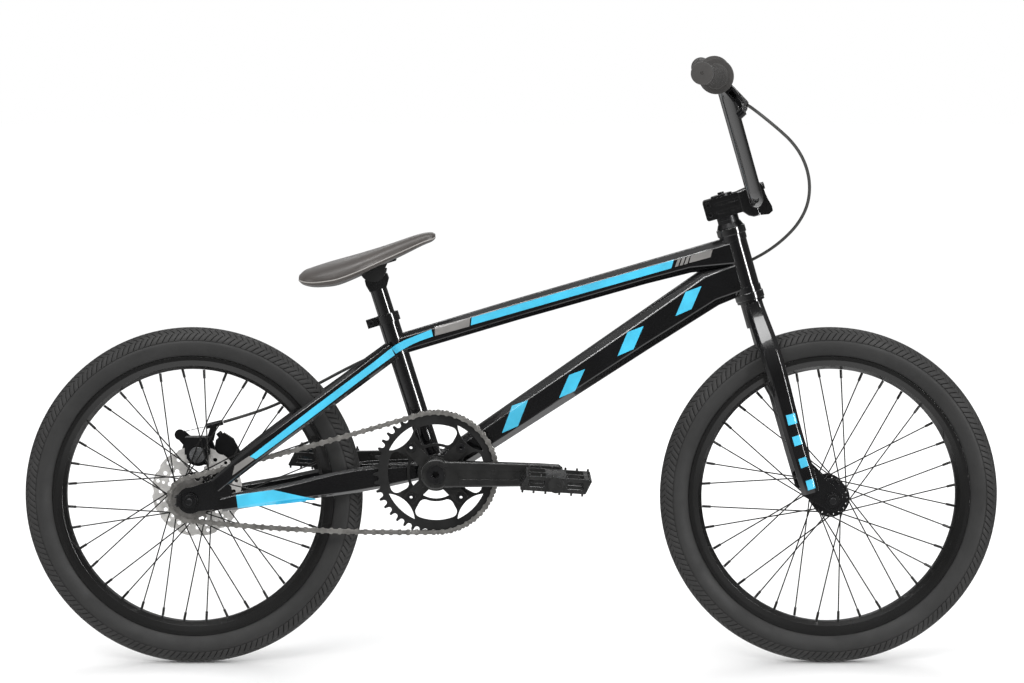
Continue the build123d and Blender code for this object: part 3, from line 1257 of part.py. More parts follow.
SADDLE = [(-311.5, 583.5, 573.5, 56), (-300.0, 588.5, 567.5, 92), (-280.0, 594.5, 566.0, 112), (-255.0, 601.5, 568.5, 118),
          (-228.0, 609.5, 578.5, 106), (-195.0, 620.5, 594.5, 76), (-160.0, 632.0, 611.5, 50), (-132.0, 641.0, 625.5, 38),
          (-114.5, 641.5, 632.5, 22)]
with BuildPart() as saddle:
    for sx, zt, zb, sw in SADDLE:
        with BuildSketch(Plane(origin=(sx, 0, (zt + zb) / 2), x_dir=(0, 1, 0), z_dir=(1, 0, 0))):
            Ellipse(sw / 2, (zt - zb) / 2)
    loft()
print("saddle volume", saddle.part.volume)

with BuildPart() as saddle_base:
    with BuildSketch(side_at(PIVOT[0], 0, PIVOT[1])) as sk:
        Circle(19.9)
        Polygon((-30, 0), (30, 0), (30, -30), (-30, -30), align=None, mode=Mode.INTERSECT)
        Polygon((-17.5, -4), (17.5, 0), (24, 14), (-30, 2), align=None)
    extrude(amount=12.4, both=True)
    with BuildSketch(side_at(PIVOT[0], 0, PIVOT[1])) as sk:
        Polygon((-45, -10), (-14, -3), (34, 12), (34, 18), (-45, 0), align=None)
    extrude(amount=16.0, both=True)
    add(saddle.part, mode=Mode.SUBTRACT)

# ======================================================================
# CABLES
# ======================================================================
HOUSING_R = 2.4
start = turn_pt(tuple(LB[i] - 36.0 * eb[i] + 52.0 * eu[i] for i in range(3)))
dirn = turn_vec(tuple(-c for c in eb))
print("cable start", start, dirn)
front_pts = [start,
             tuple(start[i] + 26 * dirn[i] for i in range(3)),
             (379.0, -141.0, 801.0), (407.0, -116.0, 777.0), (426.0, -92.0, 749.0), (435.5, -70.0, 717.0),
             (434.5, -47.0, 685.0), (423.0, -22.0, 657.0), (405.0, 3.0, 634.0), (382.0, 22.0, 614.0),
             (354.0, 31.5, 598.0), (325.0, 30.5, 586.0), (299.0, 22.4, 575.0)]
print("front radii", [round(r, 1) for r in route(front_pts)])
print("front runs", [round((Vector(*a) - Vector(*b)).length, 1) for a, b in zip(front_pts, front_pts[1:])])
with BuildPart() as front_brake_housing:
    with BuildLine() as bl:
        path = FilletPolyline(*front_pts, radius=route(front_pts))
    with BuildSketch(Plane(origin=path @ 0, z_dir=path % 0)):
        Circle(HOUSING_R)
    sweep()
print("front housing", front_brake_housing.part.volume / (pi * HOUSING_R ** 2), path.length)

rear_pts = [(-118.0, 16.9, 482.0), (-146.0, 24.0, 478.5), (-178.0, 35.0, 468.5), (-213.0, 45.0, 453.0),
            (-250.0, 54.0, 434.5), (-293.0, 60.5, 411.0), (-338.0, 65.5, 387.5), (-384.0, 69.0, 368.0),
            (-434.6, 70.0, 353.4)]
print("rear radii", [round(r, 1) for r in route(rear_pts)])
with BuildPart() as rear_brake_housing:
    with BuildLine() as bl:
        path = FilletPolyline(*rear_pts, radius=route(rear_pts))
    with BuildSketch(Plane(origin=path @ 0, z_dir=path % 0)):
        Circle(HOUSING_R)
    sweep()
print("rear housing", rear_brake_housing.part.volume / (pi * HOUSING_R ** 2), path.length)

wire_a = (-434.6 - 0.9703 * 1.5, 70.0, 353.4 - 0.2419 * 1.5)
wire_b = (CAL[0] - 23.6, 70.0, CAL[1] + 31.0)
with BuildPart() as brake_inner_wire:
    with BuildSketch(Plane(origin=(-460.95, 70.0, 346.7), z_dir=(-34.0, 0, -8.1))):
        Circle(0.8)
    extrude(amount=31.5)
    with BuildSketch(Plane(origin=(-460.95, 70.0, 346.7), z_dir=(0.9703, 0, 0.2419))):
        Circle(0.8)
    extrude(amount=24.0)

# ======================================================================
for block, name in ((head_tube, "head_tube"), (headset_cups, "headset_cups"), (bb_shell, "bb_shell"),
                    (bearings, "bearings"), (seat_tube, "seat_tube"), (down_tube, "down_tube"),
                    (top_tube, "top_tube"), (dropouts, "dropouts"), (seat_clamp, "seat_clamp"),
                    (frame_hardware, "frame_hardware"), (rear_axle, "rear_axle"),
                    (chain_outer_links, "chain_outer_links"), (chain_inner_links, "chain_inner_links"),
                    (chainring, "chainring"), (rear_cog, "rear_cog"), (crank_spindle, "crank_spindle"),
                    (chainring_bolts, "chainring_bolts"), (pedal_axles, "pedal_axles"),
                    (front_axle, "front_axle"), (brake_rotor, "brake_rotor"), (fork_steerer, "fork_steerer"),
                    (headset_spacers, "headset_spacers"), (brake_caliper, "brake_caliper"),
                    (brake_pad_fixed, "brake_pad_fixed"), (brake_pad_moving, "brake_pad_moving"),
                    (brake_arm, "brake_arm"), (seatpost, "seatpost"), (saddle, "saddle"),
                    (saddle_base, "saddle_base"), (front_brake_housing, "front_brake_housing"),
                    (rear_brake_housing, "rear_brake_housing"), (brake_inner_wire, "brake_inner_wire")):
    save(block, name)
for block, name in ((stem_body, "stem_body"), (stem_faceplate, "stem_faceplate"), (stem_bolts, "stem_bolts"),
                    (handlebar, "handlebar"), (brake_perch, "brake_perch"), (brake_lever, "brake_lever")):
    save_turned(block, name)
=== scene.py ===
import bpy, bmesh, json, math
import numpy as np
from math import sin, cos, tan, radians, degrees, pi, sqrt, hypot, atan2
from mathutils import Vector, Matrix
from mathutils.bvhtree import BVHTree


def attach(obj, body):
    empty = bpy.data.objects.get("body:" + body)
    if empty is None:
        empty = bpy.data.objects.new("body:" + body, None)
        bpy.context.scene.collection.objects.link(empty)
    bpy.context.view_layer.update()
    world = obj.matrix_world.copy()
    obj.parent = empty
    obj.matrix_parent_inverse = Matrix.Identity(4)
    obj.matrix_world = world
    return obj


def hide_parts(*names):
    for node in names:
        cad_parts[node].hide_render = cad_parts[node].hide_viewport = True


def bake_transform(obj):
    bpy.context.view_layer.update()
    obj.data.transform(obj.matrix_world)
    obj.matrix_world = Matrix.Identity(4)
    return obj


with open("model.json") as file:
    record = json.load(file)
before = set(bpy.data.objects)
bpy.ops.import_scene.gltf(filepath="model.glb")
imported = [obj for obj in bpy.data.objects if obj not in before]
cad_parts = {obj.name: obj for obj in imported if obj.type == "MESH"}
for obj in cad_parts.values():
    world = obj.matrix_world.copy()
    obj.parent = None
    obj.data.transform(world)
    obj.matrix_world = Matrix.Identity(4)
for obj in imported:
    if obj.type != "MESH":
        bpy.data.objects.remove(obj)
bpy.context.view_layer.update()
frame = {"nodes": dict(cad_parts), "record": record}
scene = bpy.context.scene
NODES = frame["nodes"]

# ---------------------------------------------------------------- dimensions, metres
TYRE_R, TYRE_MID, SEC_R = 0.2513, 0.2273, 0.0240
AXLE_X, AXLE_Z = 0.47265, 0.2513
BB = (-0.11113, 0.2913)
SEAT = (-0.11304, 0.29225)
TURN = radians(-3.5)
H0 = (0.33945, 0.5973)
ha, sa = radians(74.0), radians(72.5)
UH, NH = Vector((-cos(ha), 0, sin(ha))), Vector((sin(ha), 0, cos(ha)))
US, NS = Vector((-cos(sa), 0, sin(sa))), Vector((sin(sa), 0, cos(sa)))


def hp(s, r, y):
    """Point in steering-axis coordinates, given in millimetres."""
    return Vector((H0[0], 0, H0[1])) + UH * (s / 1000) + NH * (r / 1000) + Vector((0, y / 1000, 0))


def sp(h, n, y):
    """Point in seat-tube coordinates, given in millimetres."""
    return Vector((SEAT[0], 0, SEAT[1])) + US * (h / 1000) + NS * (n / 1000) + Vector((0, y / 1000, 0))


def turned(p):
    """A point turned with the stem and bar about the steering axis."""
    o = Vector((H0[0], 0, H0[1]))
    return o + Matrix.Rotation(TURN, 3, UH) @ (Vector(p) - o)


# ---------------------------------------------------------------- materials
class Mat:
    """A node material with a few shorthands. Colours are linear RGB."""

    def __init__(self, name, color, rough=0.5, metal=0.0, coat=0.0, coat_rough=0.03, spec=0.5, sheen=0.0, bevel=0.0):
        self.m = bpy.data.materials.new(name)
        self.m.use_nodes = True
        self.nt = self.m.node_tree
        self.nt.nodes.clear()
        self.out = self.nt.nodes.new("ShaderNodeOutputMaterial")
        self.b = self.nt.nodes.new("ShaderNodeBsdfPrincipled")
        self.link(self.b.outputs[0], self.out.inputs[0])
        i = self.b.inputs
        i["Base Color"].default_value = (*color, 1)
        i["Roughness"].default_value = rough
        i["Metallic"].default_value = metal
        i["Coat Weight"].default_value = coat
        i["Coat Roughness"].default_value = coat_rough
        i["Specular IOR Level"].default_value = spec
        i["Sheen Weight"].default_value = sheen
        self.color, self.rough = color, rough
        self.tc = self.nt.nodes.new("ShaderNodeTexCoord")
        self.normal = None
        if bevel:
            bv = self.nt.nodes.new("ShaderNodeBevel")
            bv.samples = 4
            bv.inputs["Radius"].default_value = bevel
            self.normal = bv.outputs[0]
            self.link(self.normal, i["Normal"])

    def link(self, a, b):
        self.nt.links.new(a, b)

    def noise(self, scale, detail=3.0, rough=0.55, stretch=None, distortion=0.0):
        n = self.nt.nodes.new("ShaderNodeTexNoise")
        n.inputs["Scale"].default_value = scale
        n.inputs["Detail"].default_value = detail
        n.inputs["Roughness"].default_value = rough
        n.inputs["Distortion"].default_value = distortion
        src = self.tc.outputs["Object"]
        if stretch:
            mp = self.nt.nodes.new("ShaderNodeMapping")
            mp.inputs["Scale"].default_value = stretch
            self.link(src, mp.inputs[0])
            src = mp.outputs[0]
        self.link(src, n.inputs["Vector"])
        return n.outputs["Fac"]

    def ramp(self, src, stops):
        r = self.nt.nodes.new("ShaderNodeValToRGB")
        e = r.color_ramp.elements
        while len(e) < len(stops):
            e.new(0.5)
        for k, (p, c) in enumerate(stops):
            e[k].position = p
            e[k].color = (*c, 1) if len(c) == 3 else c
        self.link(src, r.inputs[0])
        return r.outputs[0]

    def tint(self, src, a, b, lo=0.3, hi=0.7):
        """Base colour varies from a to b with src."""
        self.link(self.ramp(src, [(lo, a), (hi, b)]), self.b.inputs["Base Color"])
        return self

    def roughen(self, src, a, b, lo=0.3, hi=0.7):
        r = self.nt.nodes.new("ShaderNodeMapRange")
        r.inputs["From Min"].default_value = lo
        r.inputs["From Max"].default_value = hi
        r.inputs["To Min"].default_value = a
        r.inputs["To Max"].default_value = b
        self.link(src, r.inputs[0])
        self.link(r.outputs[0], self.b.inputs["Roughness"])
        return self

    def bump(self, src, strength, dist=0.0002):
        bp = self.nt.nodes.new("ShaderNodeBump")
        bp.inputs["Strength"].default_value = strength
        bp.inputs["Distance"].default_value = dist
        self.link(src, bp.inputs["Height"])
        if self.normal is not None:
            self.link(self.normal, bp.inputs["Normal"])
        self.normal = bp.outputs[0]
        self.link(self.normal, self.b.inputs["Normal"])
        return self


def paint(name, color, rough=0.16, bevel=0.0007):
    p = Mat(name, color, rough, coat=1.0, coat_rough=0.02, spec=0.45, bevel=bevel)
    n = p.noise(9.0, 2.0)
    p.roughen(n, rough * 0.75, rough * 1.35)
    p.tint(p.noise(26.0, 4.0), tuple(c * 0.85 for c in color), tuple(c * 1.2 for c in color))
    p.bump(p.noise(60.0, 1.0), 0.02, 0.0001)
    return p.m


def anodised(name, color, rough=0.34, metal=0.55, bevel=0.0005, grain=1800.0):
    p = Mat(name, color, rough, metal, spec=0.5, bevel=bevel)
    p.roughen(p.noise(30.0, 4.0), rough * 0.8, rough * 1.3)
    p.tint(p.noise(55.0, 5.0), tuple(c * 0.75 for c in color), tuple(c * 1.3 for c in color))
    p.bump(p.noise(grain, 2.0), 0.12, 0.00004)
    return p.m


def steel(name, color, rough=0.3, metal=1.0, bevel=0.0004, stretch=(1, 1, 1), contrast=0.25):
    p = Mat(name, color, rough, metal, bevel=bevel)
    n = p.noise(160.0, 6.0, 0.65, stretch)
    p.roughen(n, rough * 0.7, rough * 1.4)
    lo, hi = 1 - contrast, 1 + contrast
    p.tint(p.noise(70.0, 5.0, 0.6, stretch), tuple(min(1, c * lo) for c in color), tuple(min(1, c * hi) for c in color))
    p.bump(n, 0.08, 0.00005)
    return p.m


def rubber(name, color, rough=0.62, bump_scale=900.0, bump=0.35, dist=0.00012, sheen=0.0, spec=0.35, bevel=0.0):
    p = Mat(name, color, rough, spec=spec, sheen=sheen, bevel=bevel)
    n = p.noise(bump_scale, 5.0, 0.6)
    p.roughen(p.noise(24.0, 5.0), rough * 0.85, min(1.0, rough * 1.2))
    p.tint(p.noise(14.0, 6.0, 0.65), tuple(c * 0.8 for c in color), tuple(c * 1.2 for c in color))
    p.bump(n, bump, dist)
    return p.m


M = {}
M["frame"] = paint("frame_gloss_black", (0.0045, 0.0045, 0.005))
M["fork"] = paint("fork_gloss_black", (0.0045, 0.0045, 0.005))
M["bar"] = paint("bar_gloss_black", (0.006, 0.006, 0.0062), rough=0.14)
M["cyan"] = paint("decal_cyan", (0.040, 0.480, 0.720), rough=0.34, bevel=0.0)
M["grey"] = paint("decal_grey", (0.20, 0.193, 0.185), rough=0.34, bevel=0.0)
M["white"] = paint("print_white", (0.70, 0.70, 0.70), rough=0.5, bevel=0.0)
M["ano"] = anodised("black_anodised", (0.012, 0.012, 0.013))
M["ano_gloss"] = anodised("black_anodised_gloss", (0.008, 0.008, 0.009), rough=0.2, metal=0.4)
M["crank"] = anodised("crank_satin_black", (0.028, 0.028, 0.0275), rough=0.24, metal=0.4)
M["ring"] = anodised("ring_matt_black", (0.008, 0.008, 0.008), rough=0.5, metal=0.3)
M["pedal"] = anodised("pedal_black", (0.034, 0.034, 0.0335), rough=0.24, metal=0.4)
rm = Mat("rim_black", (0.009, 0.0088, 0.0086), 0.24, 0.15, coat=0.7, coat_rough=0.08, bevel=0.0009)
rm.roughen(rm.noise(6.0, 2.0), 0.21, 0.28)
rm.tint(rm.noise(8.0, 2.0), (0.0080, 0.0078, 0.0076), (0.0100, 0.0098, 0.0096))
rm.bump(rm.noise(1500.0, 1.0), 0.03, 0.00003)
M["rim"] = rm.m
M["blacksteel"] = steel("black_oxide_steel", (0.020, 0.020, 0.021), rough=0.3, metal=0.6)
M["chain"] = steel("chain_steel", (0.27, 0.262, 0.248), rough=0.38, metal=0.75, contrast=0.35)
M["cog"] = steel("cog_steel", (0.25, 0.242, 0.23), rough=0.38, metal=0.78, contrast=0.35)
M["bearing"] = steel("bearing_steel", (0.42, 0.42, 0.43), rough=0.22)
M["bare"] = steel("bare_steel", (0.62, 0.62, 0.63), rough=0.25)
M["rotor"] = steel("rotor_steel", (0.80, 0.785, 0.76), rough=0.48, metal=0.6, contrast=0.1)
M["silver"] = steel("silver_alloy", (0.66, 0.67, 0.69), rough=0.25, contrast=0.1)
M["spoke"] = steel("spoke_black", (0.016, 0.0155, 0.015), rough=0.32, metal=0.5)
M["tyre"] = rubber("tyre_rubber", (0.0235, 0.0233, 0.0230), rough=0.66, bump=0.3, spec=0.32)
M["tread"] = rubber("tyre_tread", (0.0295, 0.029, 0.0286), rough=0.68, bump=0.35, spec=0.28)
# painted shade: the groove floor rubber is made far darker than the tread to stand in for the shade between the blocks
M["groove"] = rubber("tyre_groove", (0.0035, 0.0035, 0.0035), rough=0.85, bump=0.2, spec=0.1)
M["tube"] = rubber("butyl", (0.012, 0.012, 0.012), rough=0.5)
M["grip"] = rubber("grip_rubber", (0.049, 0.0465, 0.0445), rough=0.72, bump_scale=1500.0, bump=0.4, spec=0.25, sheen=0.1)
M["housing"] = rubber("cable_sheath", (0.040, 0.040, 0.038), rough=0.4, bump_scale=1200.0, bump=0.2, spec=0.4)
M["saddle"] = rubber("saddle_cover", (0.057, 0.049, 0.044), rough=0.42, bump_scale=1400.0, bump=0.35, dist=0.0001, spec=0.4, sheen=0.15)
M["plastic"] = rubber("moulded_nylon", (0.010, 0.010, 0.010), rough=0.36, bump_scale=700.0, bump=0.2, spec=0.45, bevel=0.0006)

SLOT_MAT = {"frame_paint": "frame", "fork_paint": "fork", "bar_paint": "bar", "black_anodised": "ano", "bearing_steel": "bearing",
            "black_steel": "blacksteel", "chain_steel": "chain", "silver_alloy": "silver", "cable_housing": "housing",
            "bare_steel": "bare", "grip_rubber": "grip", "lever_alloy": "ano_gloss", "tyre_rubber": "tyre", "tube_rubber": "tube",
            "rim_alloy": "rim", "spoke_steel": "spoke", "rotor_steel": "rotor", "cog_steel": "cog", "crank_alloy": "crank",
            "ring_alloy": "ring", "pedal_alloy": "pedal", "saddle_cover": "saddle", "saddle_plastic": "plastic"}
for sub in frame["record"]["subparts"]:
    o = NODES[sub["node"]]
    o.data.materials.clear()
    o.data.materials.append(M[SLOT_MAT[sub["material_slot"]]])
for n in ("stem_body", "stem_faceplate", "headset_cups", "seat_clamp", "seatpost"):
    NODES[n].data.materials[0] = M["bar"]
NODES["brake_pad_fixed"].data.materials[0] = M["silver"]


# ---------------------------------------------------------------- mesh helpers
def new_mesh(name, verts, faces, mat, smooth=True, auto=None):
    me = bpy.data.meshes.new(name)
    me.from_pydata([tuple(map(float, v)) for v in verts], [], [tuple(int(i) for i in f) for f in faces])
    me.validate()
    me.update()
    o = bpy.data.objects.new(name, me)
    scene.collection.objects.link(o)
    for m in (mat if isinstance(mat, (list, tuple)) else [mat]):
        me.materials.append(m)
    if smooth:
        me.polygons.foreach_set("use_smooth", [True] * len(me.polygons))
    if auto:
        sharp_edges(o, auto)
    return o


def sharp_edges(o, angle_deg):
    bm = bmesh.new()
    bm.from_mesh(o.data)
    lim = radians(angle_deg)
    for e in bm.edges:
        if len(e.link_faces) == 2 and e.calc_face_angle(0) > lim:
            e.smooth = False
    bm.to_mesh(o.data)
    bm.free()


def outward(o):
    bm = bmesh.new()
    bm.from_mesh(o.data)
    bmesh.ops.recalc_face_normals(bm, faces=bm.faces)
    bm.to_mesh(o.data)
    bm.free()
    return o


class Builder:
    """Collects parts of one mesh."""

    def __init__(self):
        self.v, self.f, self.mi, self.n = [], [], [], 0

    def add(self, verts, faces, mi=0):
        verts = np.asarray(verts, float).reshape(-1, 3)
        self.v.append(verts)
        self.f += [tuple(i + self.n for i in f) for f in faces]
        self.mi += [mi] * len(faces)
        self.n += len(verts)

    def obj(self, name, mats, body, auto=None, flip=False):
        mats = mats if isinstance(mats, (list, tuple)) else [mats]
        o = new_mesh(name, np.vstack(self.v), self.f, mats)
        o.data.polygons.foreach_set("material_index", self.mi)
        outward(o)
        if auto:
            sharp_edges(o, auto)
        if body:
            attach(o, body)
        return o


def frame_of(d, hint=(0, 0, 1)):
    d = Vector(d).normalized()
    h = Vector(hint)
    if abs(d.dot(h.normalized())) > 0.95:
        h = Vector((1, 0, 0)) if abs(d.x) < 0.9 else Vector((0, 1, 0))
    a = (h - d * h.dot(d)).normalized()
    return a, d.cross(a), d


def tube_along(bl, pts, radii, sides=16, cap=True, mi=0, hint=(0, 0, 1)):
    """A closed tube through points with a radius at each, turning with the path."""
    pts = [Vector(p) for p in pts]
    n = len(pts)
    if not hasattr(radii, "__len__"):
        radii = [radii] * n
    tang = [(pts[min(i + 1, n - 1)] - pts[max(i - 1, 0)]).normalized() for i in range(n)]
    a, b, _ = frame_of(tang[0], hint)
    rings = []
    for i in range(n):
        a = (a - tang[i] * a.dot(tang[i])).normalized()
        b = tang[i].cross(a)
        for k in range(sides):
            t = 2 * pi * k / sides
            rings.append(pts[i] + (a * cos(t) + b * sin(t)) * radii[i])
    faces = []
    for i in range(n - 1):
        for k in range(sides):
            k2 = (k + 1) % sides
            faces.append((i * sides + k, i * sides + k2, (i + 1) * sides + k2, (i + 1) * sides + k))
    if cap:
        faces.append(tuple(range(sides))[::-1])
        faces.append(tuple((n - 1) * sides + k for k in range(sides)))
    bl.add([tuple(p) for p in rings], faces, mi)


def lathe(bl, origin, axis, prof, sides=48, mi=0, hint=(0, 0, 1), closed=False, a0=0.0):
    """Turns a profile [(w along axis, r)] about an axis. Ends at r 0 close to a point; closed joins last to first."""
    a, b, d = frame_of(axis, hint)
    o = Vector(origin)
    verts, idx = [], []
    for w, r in prof:
        if r < 1e-7:
            idx.append([len(verts)] * sides)
            verts.append(tuple(o + d * w))
        else:
            idx.append(list(range(len(verts), len(verts) + sides)))
            for k in range(sides):
                t = 2 * pi * k / sides + a0
                verts.append(tuple(o + d * w + (a * cos(t) + b * sin(t)) * r))
    faces = []
    m = len(prof)
    for i in range(m if closed else m - 1):
        p, q = idx[i], idx[(i + 1) % m]
        for k in range(sides):
            k2 = (k + 1) % sides
            f = []
            for v in (p[k], p[k2], q[k2], q[k]):
                if v not in f:
                    f.append(v)
            if len(f) > 2:
                faces.append(tuple(f))
    bl.add(verts, faces, mi)


def prism(bl, origin, xd, zd, outline, h, bev=0.0, mi=0):
    """A flat outline (list of x, y in metres) raised by h along zd, with a small bevelled top and bottom edge."""
    zd = Vector(zd).normalized()
    xd = Vector(xd)
    xd = (xd - zd * xd.dot(zd)).normalized()
    yd = zd.cross(xd)
    o = Vector(origin)
    pts = [Vector((p[0], p[1])) for p in outline]
    n = len(pts)
    cx = sum((p for p in pts), Vector((0, 0))) / n

    def inset(p):
        d = cx - p
        return p + d * (min(1.0, bev / max(d.length, 1e-9)))
    levels = [(0.0, True), (bev, False), (h - bev, False), (h, True)] if bev else [(0.0, False), (h, False)]
    verts, faces = [], []
    for z, ins in levels:
        for p in pts:
            q = inset(p) if ins else p
            verts.append(tuple(o + xd * q.x + yd * q.y + zd * z))
    for l in range(len(levels) - 1):
        for k in range(n):
            k2 = (k + 1) % n
            faces.append((l * n + k, l * n + k2, (l + 1) * n + k2, (l + 1) * n + k))
    faces.append(tuple(range(n))[::-1])
    faces.append(tuple((len(levels) - 1) * n + k for k in range(n)))
    bl.add(verts, faces, mi)


def circle_pts(r, n=32, a0=0.0):
    return [(r * cos(a0 + 2 * pi * k / n), r * sin(a0 + 2 * pi * k / n)) for k in range(n)]


def spline_points(pts, n=12, order=3):
    """Points along the NURBS spline whose control points are pts."""
    cu = bpy.data.curves.new("tmp_route", "CURVE")
    cu.dimensions = "3D"
    s = cu.splines.new("NURBS")
    s.points.add(len(pts) - 1)
    for q, p in zip(s.points, pts):
        q.co = (*p, 1)
    s.order_u = order
    s.use_endpoint_u = True
    s.resolution_u = n
    cu.resolution_u = n
    ob = bpy.data.objects.new("tmp_route", cu)
    scene.collection.objects.link(ob)
    bpy.context.view_layer.update()
    me = bpy.data.meshes.new_from_object(ob.evaluated_get(bpy.context.evaluated_depsgraph_get()))
    out = [v.co.copy() for v in me.vertices]
    bpy.data.objects.remove(ob)
    bpy.data.meshes.remove(me)
    return out


# ---------------------------------------------------------------- camera
cam_data = bpy.data.cameras.new("camera")
cam = bpy.data.objects.new("camera", cam_data)
scene.collection.objects.link(cam)
cam_data.sensor_width, cam_data.lens = 36.0, 110.8
cam.location = (-0.00554, -4.6644, 0.8644)
pitch, yaw = 0.082, 0.0014
cam.rotation_mode = "QUATERNION"
cam.rotation_quaternion = Vector((sin(yaw) * cos(pitch), cos(yaw) * cos(pitch), -sin(pitch))).to_track_quat("-Z", "Y")
scene.camera = cam

# ---------------------------------------------------------------- cables
FRONT_ROUTE = [(0.33219, -0.18768, 0.83319), (0.33780, -0.16230, 0.83240),
               (0.379, -0.141, 0.801), (0.407, -0.116, 0.777), (0.426, -0.092, 0.749), (0.4355, -0.070, 0.717),
               (0.4345, -0.047, 0.685), (0.423, -0.022, 0.657), (0.405, 0.003, 0.634), (0.382, 0.022, 0.614),
               (0.354, 0.0315, 0.598), (0.325, 0.0305, 0.586), (0.299, 0.0224, 0.575)]
REAR_ROUTE = [(-0.118, 0.0169, 0.482), (-0.146, 0.024, 0.4785), (-0.178, 0.035, 0.4685), (-0.213, 0.045, 0.453),
              (-0.250, 0.054, 0.4345), (-0.293, 0.0605, 0.411), (-0.338, 0.0655, 0.3875), (-0.384, 0.069, 0.368),
              (-0.4346, 0.070, 0.3534)]


def resample(pts, step):
    pts = [Vector(p) for p in pts]
    d = [0.0]
    for a, b in zip(pts, pts[1:]):
        d.append(d[-1] + (b - a).length)
    n = max(2, int(round(d[-1] / step)))
    out, j = [], 0
    for i in range(n + 1):
        t = d[-1] * i / n
        while j < len(d) - 2 and d[j + 1] < t:
            j += 1
        f = (t - d[j]) / max(d[j + 1] - d[j], 1e-9)
        out.append(pts[j].lerp(pts[j + 1], min(1, max(0, f))))
    return out, d[-1]


def housing(name, route, node, n=14):
    line = spline_points(route, n)
    fine, length = resample(line, 0.00055)
    rad = [0.00240 if (i % 4) < 2 else 0.00226 for i in range(len(fine))]
    bl = Builder()
    tube_along(bl, fine, rad, 12)
    o = bl.obj(name, M["housing"], None)
    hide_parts(node)
    coarse = fine[::4] + ([fine[-1]] if (len(fine) - 1) % 4 else [])
    return o, length, [tuple(p) for p in coarse]


front_h, front_len, front_path = housing("front_brake_cable", FRONT_ROUTE, "front_brake_housing")
rear_h, rear_len, rear_path = housing("rear_brake_cable", REAR_ROUTE, "rear_brake_housing")
print("housing lengths", front_len, rear_len)
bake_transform(front_h)
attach(rear_h, "frame")


# bare wire between the housing stop and the arm's clamp
wire_pts, _ = resample([(-0.43766, 0.070, 0.35251), (-0.46095, 0.070, 0.3467), (-0.49160, 0.070, 0.33940)], 0.0012)
wb = Builder()
tube_along(wb, wire_pts, [0.00080 if i % 2 else 0.00074 for i in range(len(wire_pts))], 12)
wire = wb.obj("brake_wire_strand", M["bare"], None)
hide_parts("brake_inner_wire")
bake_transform(wire)


# ---------------------------------------------------------------- tyres
def tyre_point(ax, phi, theta, rho):
    r = TYRE_MID + rho * np.cos(theta)
    return np.stack([ax + r * np.cos(phi), rho * np.sin(theta) + 0 * phi, AXLE_Z + r * np.sin(phi)], -1)


PITCHES = 164
DEPTH = 0.0016


